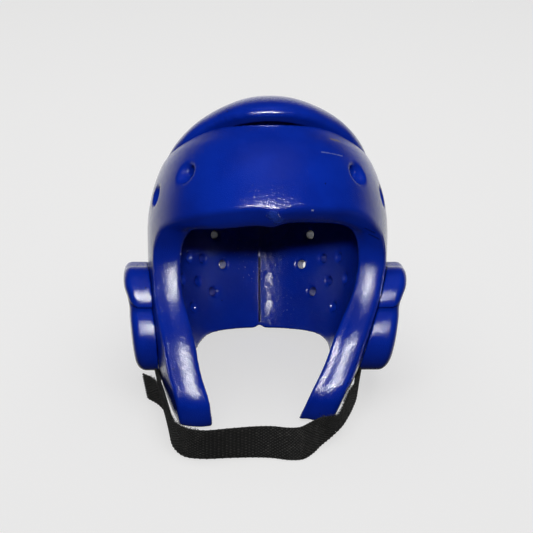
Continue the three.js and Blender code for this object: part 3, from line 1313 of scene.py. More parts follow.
    def build(self) -> bpy.types.Object:
        """Works the shell out on a lattice and draws its skin.

        Returns:
            The piece.
        """
        lattice = Lattice(self.low, self.high, self.cell)
        outside = lattice.distances(self.form.skin(), self.reach)
        x, y, z = lattice.axes()
        wall = np.maximum(outside, -(outside + self.thickness(x, y, z)))
        crest = self.wall * (0.5 - self.bulge_shift * (2 * smoothstep(x, *self.side_blend) - 1))
        middle = np.clip((outside + crest) / (self.wall / 2), -1, 1)
        bulge = self.face_bulge * (1 - middle**2) * smoothstep(-y, *self.bulge_depth)
        dip = self.brow_dip * hump(x, 0, self.dip_reach) - self.brow_slant * x
        dip = dip * smoothstep(-y, *self.dip_depth) * smoothstep(z, *self.brow_height)
        notch = self.notch * hump(x, self.seam_x, self.notch_reach) * smoothstep(y, *self.notch_depth)
        brow = smoothstep(z, *self.brow_edge_height) * smoothstep(-y, *self.brow_edge_depth)
        radius = self.cheek_edge_radius + (self.brow_edge_radius - self.cheek_edge_radius) * brow
        solid = round_meet(wall, self.profile(lattice, outside) - bulge - (dip - notch), radius)
        solid = round_meet(solid, self.rim.above(self.form, lattice), self.rim_radius)
        for side in Side:
            self.drill_side(solid, lattice, side)
        solid = round_meet(solid, -STANCE.height(y, z) + 0 * x, self.floor_radius)
        points, faces = lattice.surface(solid)
        return make_piece(self.name, STANCE.tip(points), faces)

    def ridges(
        self, piece: bpy.types.Object, material: bpy.types.Material, seam_shade: bpy.types.Material
    ) -> list[bpy.types.Object]:
        """The fine parting ridges along the skin's outer edges, and a bead along the glued seam whose very
        dark, dull finish is painted shade.

        Args:
            piece: The built shell.
            material: The skin's finish.
            seam_shade: The seam bead's very dark, dull finish, painted shade along the seam.

        Returns:
            The ridge and bead pieces.
        """
        corners = np.empty(len(piece.data.vertices) * 3)
        piece.data.vertices.foreach_get("co", corners)
        tree = BVHTree.FromPolygons(
            corners.reshape(-1, 3).tolist(), [tuple(face.vertices) for face in piece.data.polygons]
        )
        inwards = Vector((0.0, math.cos(STANCE.tilt), -math.sin(STANCE.tilt)))
        runs = []
        for side in Side:
            edge = self.face_edge(side)
            edge = edge[(edge[:, 1] > self.ridge_foot) & (edge[:, 1] < self.ridge_top)]
            beside = np.full(len(edge), side.value * self.clear)
            starts = np.column_stack([beside, edge + [self.ridge_in, 0]])
            away = Vector((-side.value, 0.0, 0.0))
            hits = [tree.ray_cast(Vector(start), away)[0] for start in STANCE.tip(starts)]
            runs.append([hit for hit in hits if hit and hit.x * side.value > 0])
        turn = np.linspace(-self.rim_span, self.rim_span, self.rim_steps)
        rim = self.form.outside(turn, self.rim.height(turn))
        runs.append([tree.find_nearest(Vector(spot))[0] for spot in STANCE.tip(rim)])
        levels = np.arange(*self.bead_levels, dtype=float)
        seam = np.column_stack([np.full(len(levels), self.seam_x + self.bead_off), 0 * levels, levels])
        bead = [tree.ray_cast(Vector(start), inwards)[0] for start in STANCE.tip(seam)]
        sizes = (self.parting_radius, self.parting_wobble)
        parting = swept_ridge("shell_parting", make_path(runs), material, *sizes)
        sizes = (self.bead_radius, self.bead_wobble)
        return [parting, swept_ridge("shell_seam", make_path([bead]), seam_shade, *sizes)]


@dataclass
class CrownPad(FoamPiece):
    """The domed pad over the top, with its lip lifted clear of the forehead band."""

    form: HeadForm = HeadForm()
    rim: Rim = Rim()
    wall: float = 18.0
    apex: Spot = (2.4, 4.0, 258.0)
    front_roundness: float = 2.2
    left_roundness: float = 1.68
    right_roundness: float = 1.55
    back_roundness: float = 1.7
    seam: float = 0.35
    inset: float = 2.8
    lip_in: float = 3.5
    lip_up: float = 7.4
    lip_level: float = 8.5
    lip_span: float = math.radians(95)
    edge_radius: float = 3.6
    low: Spot = (-104, -112, 160)
    high: Spot = (104, 124, 268)
    cell: float = 1.3
    sides: int = 200
    levels: int = 40
    crowding: float = 1.3

    def lift(self, turn: Array) -> Array:
        """How much of the lip's lift applies: all of it at the brow, none from the temples on.

        Args:
            turn: Angles from the brow.

        Returns:
            Shares from 0 to 1.
        """
        wrapped = np.where(turn > math.pi, turn - 2 * math.pi, turn)
        share = np.minimum(1, np.abs(wrapped) / self.lip_span)
        return np.cos(share * math.pi / 2)

    def edge(self, turn: Array) -> Array:
        """The pad's lower edge.

        Args:
            turn: Angles from the brow.

        Returns:
            Points, one a row.
        """
        lift = self.lift(turn)
        edge = self.form.outside(turn, self.rim.height(turn))
        inward = unit(np.array([0, 0, self.rim.centre]) - edge)
        level = unit(-edge * np.array([1.0, 1.0, 0.0]))
        edge += inward * (self.inset * (1 - lift))[:, None] + level * (self.lip_in * lift)[:, None]
        edge[:, 2] += self.seam + self.lip_up * lift
        return edge

    def ring(self, turn: Array, depth: float, climb: float) -> Array:
        """One level of the pad.

        Args:
            turn: Angles from the brow.
            depth: How far under the outside.
            climb: From 0 at the edge to 1 at the apex.

        Returns:
            Points, one a row.
        """
        front = np.maximum(0, np.cos(turn)) ** 2
        back = np.maximum(0, -np.cos(turn)) ** 2
        side = self.right_roundness + (self.left_roundness - self.right_roundness) * (1 + np.sin(turn)) / 2
        roundness = side + (self.front_roundness - side) * front + (self.back_roundness - side) * back
        edge = self.edge(turn)
        edge += unit(np.array([0, 0, self.rim.centre]) - edge) * depth
        edge[:, 2] += self.lip_level * depth / self.wall * self.lift(turn)
        apex = np.array(self.apex) - np.array([0.0, 0.0, depth])
        near = (np.cos(climb * math.pi / 2) ** (2 / roundness))[:, None]
        rise = np.sin(climb * math.pi / 2) ** (2 / roundness)
        level = apex + (edge - apex) * near
        level[:, 2] = edge[:, 2] + (apex[2] - edge[:, 2]) * rise
        return level

    def build(self) -> bpy.types.Object:
        """Draws the pad with its edges rounded.

        Returns:
            The piece.
        """
        turn = np.linspace(0, 2 * math.pi, self.sides, endpoint=False)
        climbs = np.sin(np.linspace(0, math.pi / 2, self.levels, endpoint=False)) ** self.crowding
        rings = [self.ring(turn, self.wall, climb) for climb in climbs[::-1]]
        rings += [self.ring(turn, 0.0, climb) for climb in climbs]
        skin = Skin.over_rings(np.array(rings))
        lattice = Lattice(self.low, self.high, self.cell)
        reach = self.edge_radius + lattice.band * self.cell
        core, faces = lattice.surface(lattice.distances(skin, reach) + self.edge_radius)
        rounded = Skin(core, np.zeros((0, 3), int), faces)
        points, faces = lattice.surface(lattice.distances(rounded, reach) - self.edge_radius)
        return make_piece(self.name, STANCE.tip(points), faces)


@dataclass
class EarPad(FoamPiece):
    """A two-lobed pad over one ear."""

    side: Side = Side.LEFT
    form: HeadForm = HeadForm()
    edge_radius: float = 6.0
    seam: float = 0.3
    curve: float = 170.0
    lean: float = -2.0
    lean_top: float = 113.0
    lean_slope: float = 0.027
    hole_y: float = -2.0
    hole_z: float = 74.0
    hole_radius: float = 6.5
    hole_edge_radius: float = 2.0
    near: Spot = (58, -42, 28)
    far: Spot = (122, 40, 132)
    cell: float = 1.15
    head_reach: float = 14.0
    arc_steps: int = 40
    arcs: tuple[Arc, ...] = (
        Arc(-7, 94, 26.5, 195, 90),
        Arc(6, 98, 26, 90, 0),
        Arc(-2, 68, 32, 0, -224),
    )
    face: tuple[Pair, ...] = (
        (30, 98),
        (38, 100.5),
        (47, 103.5),
        (61, 106.3),
        (79, 108.5),
        (88, 109),
        (96, 111),
        (104, 113.7),
        (113, 114.2),
        (130, 113),
    )

    def outline(self) -> Array:
        """The pad seen from the side.

        Returns:
            Corners of y and z.
        """
        runs = []
        for arc in self.arcs:
            swing = np.radians(np.linspace(arc.start, arc.end, self.arc_steps))
            run = np.column_stack([np.cos(swing), np.sin(swing)]) * arc.radius
            runs.append(run + np.array([arc.y, arc.z]))
        return np.vstack(runs)

    def build(self) -> bpy.types.Object:
        """Draws the pad on the head form.

        Returns:
            The piece.
        """
        low_x, high_x = sorted(self.side.value * spot[0] for spot in (self.near, self.far))
        lattice = Lattice((low_x, *self.near[1:]), (high_x, *self.far[1:]), self.cell)
        x, y, z = lattice.axes()
        flat_y, flat_z = np.broadcast_arrays(y[0], z[0])
        outline = outline_distance(flat_y, flat_z, self.outline())[None]
        knots, reaches = np.array(self.face).T
        reach = curve_at(knots, reaches, z)
        lean = self.lean - self.lean_slope * (self.lean_top - z)
        barrel = self.side.value * (x - lean) - reach * np.sqrt(1 - (y / self.curve) ** 2)
        solid = round_meet(outline + 0 * barrel, barrel + 0 * outline, self.edge_radius)
        head = lattice.distances(self.form.skin(), self.head_reach)
        solid = np.maximum(solid, self.seam - head)
        hole = self.hole_radius - np.hypot(y - self.hole_y, z - self.hole_z)
        solid = round_meet(solid, hole + 0 * x, self.hole_edge_radius)
        points, faces = lattice.surface(solid)
        return make_piece(self.name, STANCE.tip(points), faces)


# Webbing


@dataclass
class Strap:
    """One half of the chin strap: a webbing ribbon drawn on the floor."""

    name: str
    node: str
    flat_length: float
    hangs_from: str
    stations: tuple[Station, ...]
    width: float = 25.0
    thick: float = 1.8
    across: int = 24
    step: float = 1.2
    float_pitch: float = 2.1
    selvedge_power: int = 8
    selvedge_least: float = 0.05
    pile: tuple[Pair, ...] = ()
    pile_rows: tuple[float, ...] = (0.35, 0.6, 0.85, 1.0)

    def path(self, count: int) -> tuple[Array, Array, Array, Array]:
        """The ribbon's edges and its own directions.

        Args:
            count: Number of points along each edge.

        Returns:
            Lower points, upper points, ways along and ways out of the inner face.
        """
        rows = np.array(self.stations, float)
        lower = rows[:, :3]
        high = np.sqrt(self.width**2 - rows[:, 3] ** 2 - rows[:, 4] ** 2)
        upper = lower + np.column_stack([rows[:, 3], rows[:, 4], high])
        shares = np.linspace(0, 1, count)
        lower, upper = thread(lower, shares), thread(upper, shares)
        along = unit(np.gradient((lower + upper) / 2, axis=0))
        inwards = unit(np.cross(along, upper - lower))
        return lower, upper, along, inwards

    def swell(self, share: Array) -> Array:
        """Share of the thickness across the ribbon, less at its rounded selvedges."""
        return np.sqrt(np.clip(1 - (2 * share - 1) ** self.selvedge_power, self.selvedge_least, 1))

    def build(self) -> bpy.types.Object:
        """Draws the ribbon with rounded selvedges and its weave's own measures.

        Returns:
            The piece.
        """
        count = int(self.flat_length / self.step)
        lower, upper, _, right = self.path(count)
        middle = (lower + upper) / 2
        run = np.concatenate([[0], np.cumsum(np.linalg.norm(np.diff(middle, axis=0), axis=1))])
        LOG.info("%s: %.1f mm along its middle", self.name, run[-1])
        share = np.linspace(0, 1, self.across + 1)
        edge_round = self.swell(share)
        front = [(s, 0.5 * r) for s, r in zip(share, edge_round)]
        back = [(s, -0.5 * r) for s, r in zip(share[::-1], edge_round[::-1])]
        loop = np.array(front + back)
        around = lower[:, None] + (upper - lower)[:, None] * loop[None, :, :1]
        around = around + right[:, None] * loop[None, :, 1:] * self.thick
        sides = len(loop)
        caps = []
        for start in (0, (count - 1) * sides):
            for k in range(self.across):
                cap = [start + k, start + k + 1, start + sides - 2 - k, start + sides - 1 - k]
                caps.append(cap if start else cap[::-1])
        faces = np.vstack([ring_faces(count, sides), caps])
        piece = make_piece(self.name, STANCE.stand(around.reshape(-1, 3)), faces)
        measures = piece.data.attributes.new("weave", "FLOAT_VECTOR", "POINT")
        ups = np.broadcast_to(loop[None, :, 0] * self.width, (count, sides))
        runs = np.broadcast_to(run[:, None], (count, sides))
        face = np.broadcast_to(np.sign(loop[None, :, 1]), (count, sides))
        weave = np.stack([runs, ups, face], axis=-1).reshape(-1)
        measures.data.foreach_set("vector", weave.astype(np.float32))
        return piece

    def floats(self, material: bpy.types.Material) -> bpy.types.Object:
        """The weave's raised yarn floats on both faces.

        Args:
            material: The yarn's finish.

        Returns:
            The piece.
        """
        rows = int(self.flat_length / self.float_pitch)
        columns = int(self.width / self.float_pitch)
        lower, upper, along, inwards = self.path(rows)
        stagger = np.arange(rows)[:, None] % 2 * 0.5 + 0.25
        share = (np.arange(columns)[None] + stagger) / columns
        flat = lower[:, None] + (upper - lower)[:, None] * share[..., None]
        lift = inwards[:, None] * (self.swell(share) * self.thick / 2)[..., None]
        spots = np.concatenate([flat + lift, flat - lift]).reshape(-1, 3)
        ways = np.tile(np.repeat(along, columns, axis=0), (2, 1))
        out = np.repeat(inwards, columns, axis=0)
        guide = make_guide(STANCE.stand(spots), along=ways, outward=np.concatenate([out, -out]))
        return weave_floats(f"{self.name}_floats", guide, material)

    def loops(self, start: float, end: float, material: bpy.types.Material) -> bpy.types.Object:
        """The loop pile over a stretch of the inner face and the upper edge.

        Args:
            start: Where the pile starts along the strap.
            end: Where it ends.
            material: The yarn's finish.

        Returns:
            The piece.
        """
        lower, upper, _, inwards = self.path(int(self.flat_length))
        part = slice(int(start), int(end))
        shares = np.array(self.pile_rows)[None, :, None]
        face = (upper - lower)[part, None] * shares + lower[part, None]
        face = face + inwards[part, None] * self.thick / 2
        over = upper[part] - inwards[part] * self.thick / 2
        patch = np.concatenate([face, over[:, None]], axis=1)
        rows, columns = patch.shape[:2]
        corner = (np.arange(rows - 1)[:, None] * columns + np.arange(columns - 1)).reshape(-1)
        faces = np.stack([corner, corner + columns, corner + columns + 1, corner + 1], -1)
        guide = make_guide(STANCE.stand(patch.reshape(-1, 3)), faces)
        return loop_pile(f"{self.name}_loops_{start:.0f}", guide, material)

    def dress(
        self, piece: bpy.types.Object, material: bpy.types.Material, extras: list[bpy.types.Object]
    ) -> bpy.types.Object:
        """Gives the strap its finish and its place in the frame.

        Args:
            piece: The built ribbon.
            material: Its finish.
            extras: The yarn pieces that go with it.

        Returns:
            The same piece.
        """
        piece.data.materials.append(material)
        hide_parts(self.node)
        for each in (piece, *extras):
            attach(each, "root")
            LOG.info("%s: %d faces", each.name, len(each.data.polygons))
        return piece


LONG_STRAP = (
    Station(74.4, 34, 10, 7.8, 0),
    Station(72.2, 16, 5, 5.4, 0),
    Station(71.2, -2, 1.2, 1.8, 0),
    Station(67.1, -16, 0.4, 1, -1),
    Station(63.2, -27, 0.4, -1.2, -5),
    Station(56.6, -42, 0.4, -3.4, -14),
    Station(46.9, -57.5, 0.4, -1.5, -7.5),
    Station(38, -69.5, 0.4, -1, 1),
    Station(31, -80.5, 0.4, -2, 7),
    Station(23, -88.5, 0.4, -2, 10.5),
    Station(13, -89.5, 0.4, -1, 10.5),
    Station(0, -86.5, 0.4, 0, 8),
    Station(-13, -85.5, 0.4, 0, 6),
    Station(-33, -86, 0.4, 0, 3),
    Station(-54, -87, 0.4, 0, 1),
    Station(-67.5, -83.5, 0.4, 2, 1),
    Station(-75.5, -71, 0.4, 1, -3),
    Station(-78, -52, 0.4, -4.4, -1),
    Station(-78.9, -35, 0.4, -7.1, 0),
    Station(-82.2, -20, 0.4, -6, 0),
    Station(-88, -8, 0.4, -4.6, 0),
    Station(-96, 1, 0.4, -4, -2),
)
PILE = ((50.0, 105.0), (215.0, 308.0))
SHORT_STRAP = (
    Station(-86.2, 30, 4, -6.5, 0),
    Station(-86.4, 14, 2, -5.2, 0),
    Station(-84.2, -4, 1, -4.4, 0),
    Station(-79.3, -20, 0.6, -5.8, 0),
    Station(-76.5, -35, 0.6, -7.1, 0),
    Station(-72.8, -51, 0.6, -7.8, 0),
)


# Finishes


class EffectGroup:
    """A shared shader effect kept as one node group."""

    def __init__(self, name: str, outputs: tuple[str, ...], inputs: dict[str, str] | None = None) -> None:
        """Starts an empty group that reads a place and gives values.

        Args:
            name: Name of the group.
            outputs: Names of the values that it gives.
            inputs: Names and kinds of the other inputs.
        """
        self.tree = bpy.data.node_groups.new(name, "ShaderNodeTree")
        for label, kind in {"Place": "NodeSocketVector", **(inputs or {})}.items():
            self.tree.interface.new_socket(label, in_out="INPUT", socket_type=kind)
        for output in outputs:
            self.tree.interface.new_socket(output, in_out="OUTPUT", socket_type="NodeSocketFloat")
        self.graph = Graph(self.tree)
        self.inputs = self.graph.add("NodeGroupInput").outputs
        self.place = self.inputs["Place"]
        self.ends = self.graph.add("NodeGroupOutput")

    def give(self, name: str, value: bpy.types.NodeSocket) -> None:
        """Links a value to one of the outputs.

        Args:
            name: The output.
            value: The value's socket.
        """
        self.tree.links.new(value, self.ends.inputs[name])


@dataclass(frozen=True)
class SkinTexture:
    """How fine the skin's grain and wear are, as noise scales, and which noise values they take."""

    fine: float = 1350.0
    coarse: float = 800.0
    coarse_share: float = 0.4
    ripple: float = 38.0
    scuff_patch: float = 16.0
    scuff_patch_from: Pair = (0.64, 0.75)
    streak: float = 700.0
    streak_stretch: Spot = (1.0, 1.0, 0.25)
    streak_from: Pair = (0.66, 0.74)
    speck: float = 95.0
    speck_radius: float = 0.055
    speck_rareness: float = 0.86
    dull: float = 24.0
    ragged: float = 900.0
    ragged_share: float = 1.2
    mark_fade: Pair = (1.5, 1.1)


TEXTURE = SkinTexture()


@cache
def pebble_group() -> bpy.types.NodeTree:
    """The fine pebbled grain of a dipped skin, with slow ripples of the foam under it.

    Returns:
        The group.
    """
    effect = EffectGroup("Dip grain", ("Grain", "Ripple"))
    graph = effect.graph
    fine = graph.noise(effect.place, TEXTURE.fine, 1.0)
    coarse = graph.noise(effect.place, TEXTURE.coarse, 1.0)
    effect.give("Grain", graph.maths("MULTIPLY_ADD", coarse, TEXTURE.coarse_share, fine))
    effect.give("Ripple", graph.noise(effect.place, TEXTURE.ripple, 1.0))
    return effect.tree


@cache
def wear_group() -> bpy.types.NodeTree:
    """Scuffs, specks and dulled patches of a used skin.

    Returns:
        The group.
    """
    effect = EffectGroup("Dip wear", ("Scuff", "Speck", "Dull"))
    graph = effect.graph
    stretched = graph.add("ShaderNodeMapping", {"Vector": effect.place, "Scale": TEXTURE.streak_stretch})
    patch = graph.ramp(graph.noise(effect.place, TEXTURE.scuff_patch), *TEXTURE.scuff_patch_from)
    streak = graph.ramp(graph.noise(stretched.outputs[0], TEXTURE.streak, 1.0), *TEXTURE.streak_from)
    effect.give("Scuff", graph.maths("MULTIPLY", patch, streak))
    cells = graph.add("ShaderNodeTexVoronoi", {"Vector": effect.place, "Scale": TEXTURE.speck})
    near = graph.maths("LESS_THAN", cells.outputs["Distance"], TEXTURE.speck_radius)
    rare = graph.add("ShaderNodeSeparateColor", {0: cells.outputs["Color"]})
    chosen = graph.maths("GREATER_THAN", rare.outputs[0], TEXTURE.speck_rareness)
    effect.give("Speck", graph.maths("MULTIPLY", near, chosen))
    effect.give("Dull", graph.noise(effect.place, TEXTURE.dull, 3.0))
    return effect.tree


@cache
def mark_group() -> bpy.types.NodeTree:
    """A ragged mark along a straight line on the skin.

    Returns:
        The group.
    """
    ends = {"Start": "NodeSocketVector", "End": "NodeSocketVector", "Reach": "NodeSocketFloat"}
    effect = EffectGroup("Dip mark", ("Mask",), ends)
    graph = effect.graph

    def vectors(operation: str, first: object, second: object) -> bpy.types.bpy_prop_collection:
        """Outputs of one step on two vectors."""
        return graph.add("ShaderNodeVectorMath", {0: first, 1: second}, operation=operation).outputs

    way = vectors("SUBTRACT", effect.inputs["End"], effect.inputs["Start"])[0]
    off = vectors("SUBTRACT", effect.place, effect.inputs["Start"])[0]
    along = vectors("DOT_PRODUCT", off, way)["Value"]
    share = graph.maths("DIVIDE", along, vectors("DOT_PRODUCT", way, way)["Value"])
    share = graph.maths("MINIMUM", graph.maths("MAXIMUM", share, 0.0), 1.0)
    nearest = graph.add("ShaderNodeVectorMath", {0: way, "Scale": share}, operation="SCALE").outputs[0]
    away = graph.maths("DIVIDE", vectors("DISTANCE", off, nearest)["Value"], effect.inputs["Reach"])
    unevenness = graph.noise(effect.place, TEXTURE.ragged)
    ragged = graph.maths("MULTIPLY_ADD", unevenness, TEXTURE.ragged_share, away)
    effect.give("Mask", graph.ramp(ragged, *TEXTURE.mark_fade))
    return effect.tree


MARKS = (
    Mark(MarkKind.GLUE, (1, -68, 177), (6, -64, 170), 5.5),
    Mark(MarkKind.CHIP, (30.5, -63.6, 178.5), (31.5, -63.2, 178.5), 1.5),
    Mark(MarkKind.SCUFF, (48.5, -1.5, 210.2), (55.2, 2.3, 206.9), 1.8),
    Mark(MarkKind.SCRATCH, (39.9, -23.9, 208.8), (56.1, -16.9, 202.5), 0.9),
    Mark(MarkKind.SCRATCH, (42.5, -73, 38), (49, -72.5, 37), 0.8),
    # Painted shade along two dents high on the wearer's left cheek.
    Mark(MarkKind.CREASE, (74.7, -35.6, 149.9), (83.5, -29.3, 142.5), 0.9),
    Mark(MarkKind.CREASE, (78.9, -28.9, 141.5), (87.5, -24.8, 135.1), 0.9),
)


def start_finish(name: str) -> tuple[bpy.types.Material, Graph]:
    """Starts a material with an empty node tree.

    Args:
        name: Name of the material.

    Returns:
        The material and its graph.
    """
    material = bpy.data.materials.new(name)
    material.use_nodes = True
    return material, Graph(material.node_tree)


@dataclass(frozen=True)
class DippedVinyl:
    """A royal blue vinyl skin dipped over foam."""

    name: str = "dipped_vinyl"
    colour: Colour = (0.0012, 0.0185, 0.285, 1.0)
    deep: Colour = (0.0009, 0.014, 0.235, 1.0)
    scuffed: Colour = (0.25, 0.3, 0.5, 1.0)
    speck: Colour = (0.002, 0.004, 0.03, 1.0)
    roughness: float = 0.15
    specular: float = 0.75
    deep_from: Pair = (0.35, 0.65)
    scuff_share: float = 0.2
    scuff_roughness: float = 0.25
    dull_roughness: float = 0.1
    mark_share: float = 0.8
    glue_lumps: float = 420.0
    glue_height: float = 4.0
    ripple_strength: float = 0.2
    ripple_height: float = 1.0 * MM
    grain_height: float = 0.2 * MM

    def material(self) -> bpy.types.Material:
        """Builds the finish.

        Returns:
            The material.
        """
        material, graph = start_finish(self.name)
        place = graph.add("ShaderNodeTexCoord").outputs["Object"]
        grain = graph.add("ShaderNodeGroup", node_tree=pebble_group())
        wear = graph.add("ShaderNodeGroup", node_tree=wear_group())
        for group in (grain, wear):
            graph.tree.links.new(place, group.inputs["Place"])
        tone = graph.mix(graph.ramp(wear.outputs["Dull"], *self.deep_from), self.colour, self.deep)
        scuff = graph.maths("MULTIPLY", wear.outputs["Scuff"], self.scuff_share)
        tone = graph.mix(scuff, tone, self.scuffed)
        tone = graph.mix(wear.outputs["Speck"], tone, self.speck)
        height = grain.outputs["Grain"]
        for mark in MARKS:
            node = graph.add("ShaderNodeGroup", node_tree=mark_group())
            graph.tree.links.new(place, node.inputs["Place"])
            node.inputs["Start"].default_value = Vector(mark.start) * MM
            node.inputs["End"].default_value = Vector(mark.end) * MM
            node.inputs["Reach"].default_value = mark.reach * MM
            mask = node.outputs["Mask"]
            tone = graph.mix(graph.maths("MULTIPLY", mask, self.mark_share), tone, mark.kind.value)
            if mark.kind is MarkKind.GLUE:
                lumps = graph.maths("MULTIPLY", graph.noise(place, self.glue_lumps), mask)
                height = graph.maths("MULTIPLY_ADD", lumps, self.glue_height, height)
        least = self.roughness - self.dull_roughness / 2
        dulled = graph.maths("MULTIPLY_ADD", wear.outputs["Dull"], self.dull_roughness, least)
        rough = graph.maths("MULTIPLY_ADD", wear.outputs["Scuff"], self.scuff_roughness, dulled)
        ripple = {"Strength": self.ripple_strength, "Distance": self.ripple_height}
        waves = graph.add("ShaderNodeBump", {"Height": grain.outputs["Ripple"], **ripple})
        pebbles = {"Strength": 1.0, "Distance": self.grain_height}
        bump = graph.add("ShaderNodeBump", {"Height": height, "Normal": waves.outputs[0], **pebbles})
        skin = graph.add(
            "ShaderNodeBsdfPrincipled",
            {
                "Base Color": tone,
                "Roughness": rough,
                "Normal": bump.outputs[0],
                "IOR": 1.5,
                "Specular IOR Level": self.specular,
            },
        )
        graph.add("ShaderNodeOutputMaterial", {"Surface": skin.outputs[0]})
        return material


# Very dark, dull finish of the seam bead: painted shade along the seam's line.
SEAM_SHADE_BLUE = (0.0006, 0.004, 0.04, 1.0)
SEAM_SHADE_FINISH = DippedVinyl("seam_painted_shade", SEAM_SHADE_BLUE, SEAM_SHADE_BLUE, roughness=0.6, specular=0.1)


@dataclass(frozen=True)
class WovenWebbing:
    """Black woven webbing, from its own measures along and across the strap, with painted highlight on the
    weave's raised crests.
    """

    name: str = "woven_webbing"
    colour: Colour = (0.0035, 0.0035, 0.0033, 1.0)
    # Lighter where the weave's relief and noise run high: painted highlight on the raised yarn.
    crest_highlight: Colour = (0.012, 0.012, 0.0115, 1.0)
    crest_highlight_from: Pair = (0.6, 1.6)
    pitch: float = 1.25
    fuzz: float = 3.0
    yarn_height: float = 0.5 * MM
    roughness: float = 0.8

    def material(self) -> bpy.types.Material:
        """Builds the finish.

        Returns:
            The material.
        """
        material, graph = start_finish(self.name)
        weave = graph.add("ShaderNodeAttribute", attribute_name="weave").outputs["Vector"]
        parts = graph.add("ShaderNodeSeparateXYZ", {0: weave})
        turn = 2 * math.pi / self.pitch
        along = graph.maths("MULTIPLY", parts.outputs["X"], turn)
        across = graph.maths("MULTIPLY", parts.outputs["Y"], turn * 0.5)
        weft = graph.maths("SINE", graph.maths("ADD", along, across))
        warp = graph.maths("SINE", graph.maths("MULTIPLY", across, 2.0))
        height = graph.maths("MULTIPLY", weft, warp)
        whole = graph.maths("ADD", height, graph.noise(weave, self.fuzz, 3.0))
        # Painted highlight: lighter colour on the weave's raised crests.
        tone = graph.mix(graph.ramp(whole, *self.crest_highlight_from), self.colour, self.crest_highlight)
        relief = {"Height": whole, "Strength": 1.0, "Distance": self.yarn_height}
        bump = graph.add("ShaderNodeBump", relief)
        cloth = graph.add(
            "ShaderNodeBsdfPrincipled",
            {
                "Base Color": tone,
                "Roughness": self.roughness,
                "Normal": bump.outputs[0],
                "Sheen Weight": 0.05,
                "Sheen Roughness": 0.4,
                "Specular IOR Level": 0.25,
            },
        )
        graph.add("ShaderNodeOutputMaterial", {"Surface": cloth.outputs[0]})
        return material


@dataclass(frozen=True)
class BlackYarn:
    """The webbing's raised yarn, dulled here and there; its colour, lighter than the webbing's, is painted
    highlight on the raised floats and pile.
    """

    # Lighter than the webbing's own colour: painted highlight on the raised yarn.
    colour: Colour = (0.014, 0.014, 0.0136, 1.0)
    dusty: Colour = (0.034, 0.033, 0.031, 1.0)
    dust: float = 260.0
    dust_from: Pair = (0.45, 0.75)
    dust_roughness: float = 0.2
    roughness: float = 0.6

    def material(self) -> bpy.types.Material:
        """Builds the finish.

        Returns:
            The material.
        """
        material, graph = start_finish("black_yarn")
        place = graph.add("ShaderNodeTexCoord").outputs["Object"]
        dust = graph.noise(place, self.dust, 3.0)
        tone = graph.mix(graph.ramp(dust, *self.dust_from), self.colour, self.dusty)
        least = self.roughness - self.dust_roughness / 2
        rough = graph.maths("MULTIPLY_ADD", dust, self.dust_roughness, least)
        yarn = graph.add(
            "ShaderNodeBsdfPrincipled",
            {"Base Color": tone, "Roughness": rough, "Specular IOR Level": 0.3},
        )
        graph.add("ShaderNodeOutputMaterial", {"Surface": yarn.outputs[0]})
        return material


@dataclass(frozen=True)
class PaleSweep:
    """The pale paper that the guard stands on, lit from behind so that its shadows stay faint."""

    colour: Colour = (0.4, 0.399, 0.398, 1.0)
    shade: Colour = (0.25, 0.25, 0.25, 1.0)
    shade_fineness: float = 3.0
    shade_share: float = 0.02
    glow: Colour = (1.0, 0.997, 0.995, 1.0)
    near_glow: float = 0.63
    far_glow: float = 0.66
    glow_depth: Pair = (-0.5, 0.9)

    def material(self) -> bpy.types.Material:
        """Builds the finish.

        Returns:
            The material.
        """
        material, graph = start_finish("pale_sweep")
        place = graph.add("ShaderNodeTexCoord").outputs["Object"]
        shade = graph.maths("MULTIPLY", graph.noise(place, self.shade_fineness), self.shade_share)
        tone = graph.mix(shade, self.colour, self.shade)
        depth = graph.add("ShaderNodeSeparateXYZ", {0: place}).outputs["Y"]
        climb = graph.ramp(depth, *self.glow_depth)
        glow = graph.maths("MULTIPLY_ADD", climb, self.far_glow - self.near_glow, self.near_glow)
        paper = graph.add(
            "ShaderNodeBsdfPrincipled",
            {
                "Base Color": tone,
                "Roughness": 0.9,
                "Specular IOR Level": 0.0,
                "Emission Color": self.glow,
                "Emission Strength": glow,
            },
        )
        graph.add("ShaderNodeOutputMaterial", {"Surface": paper.outputs[0]})
        return material


# Camera, lights and floor


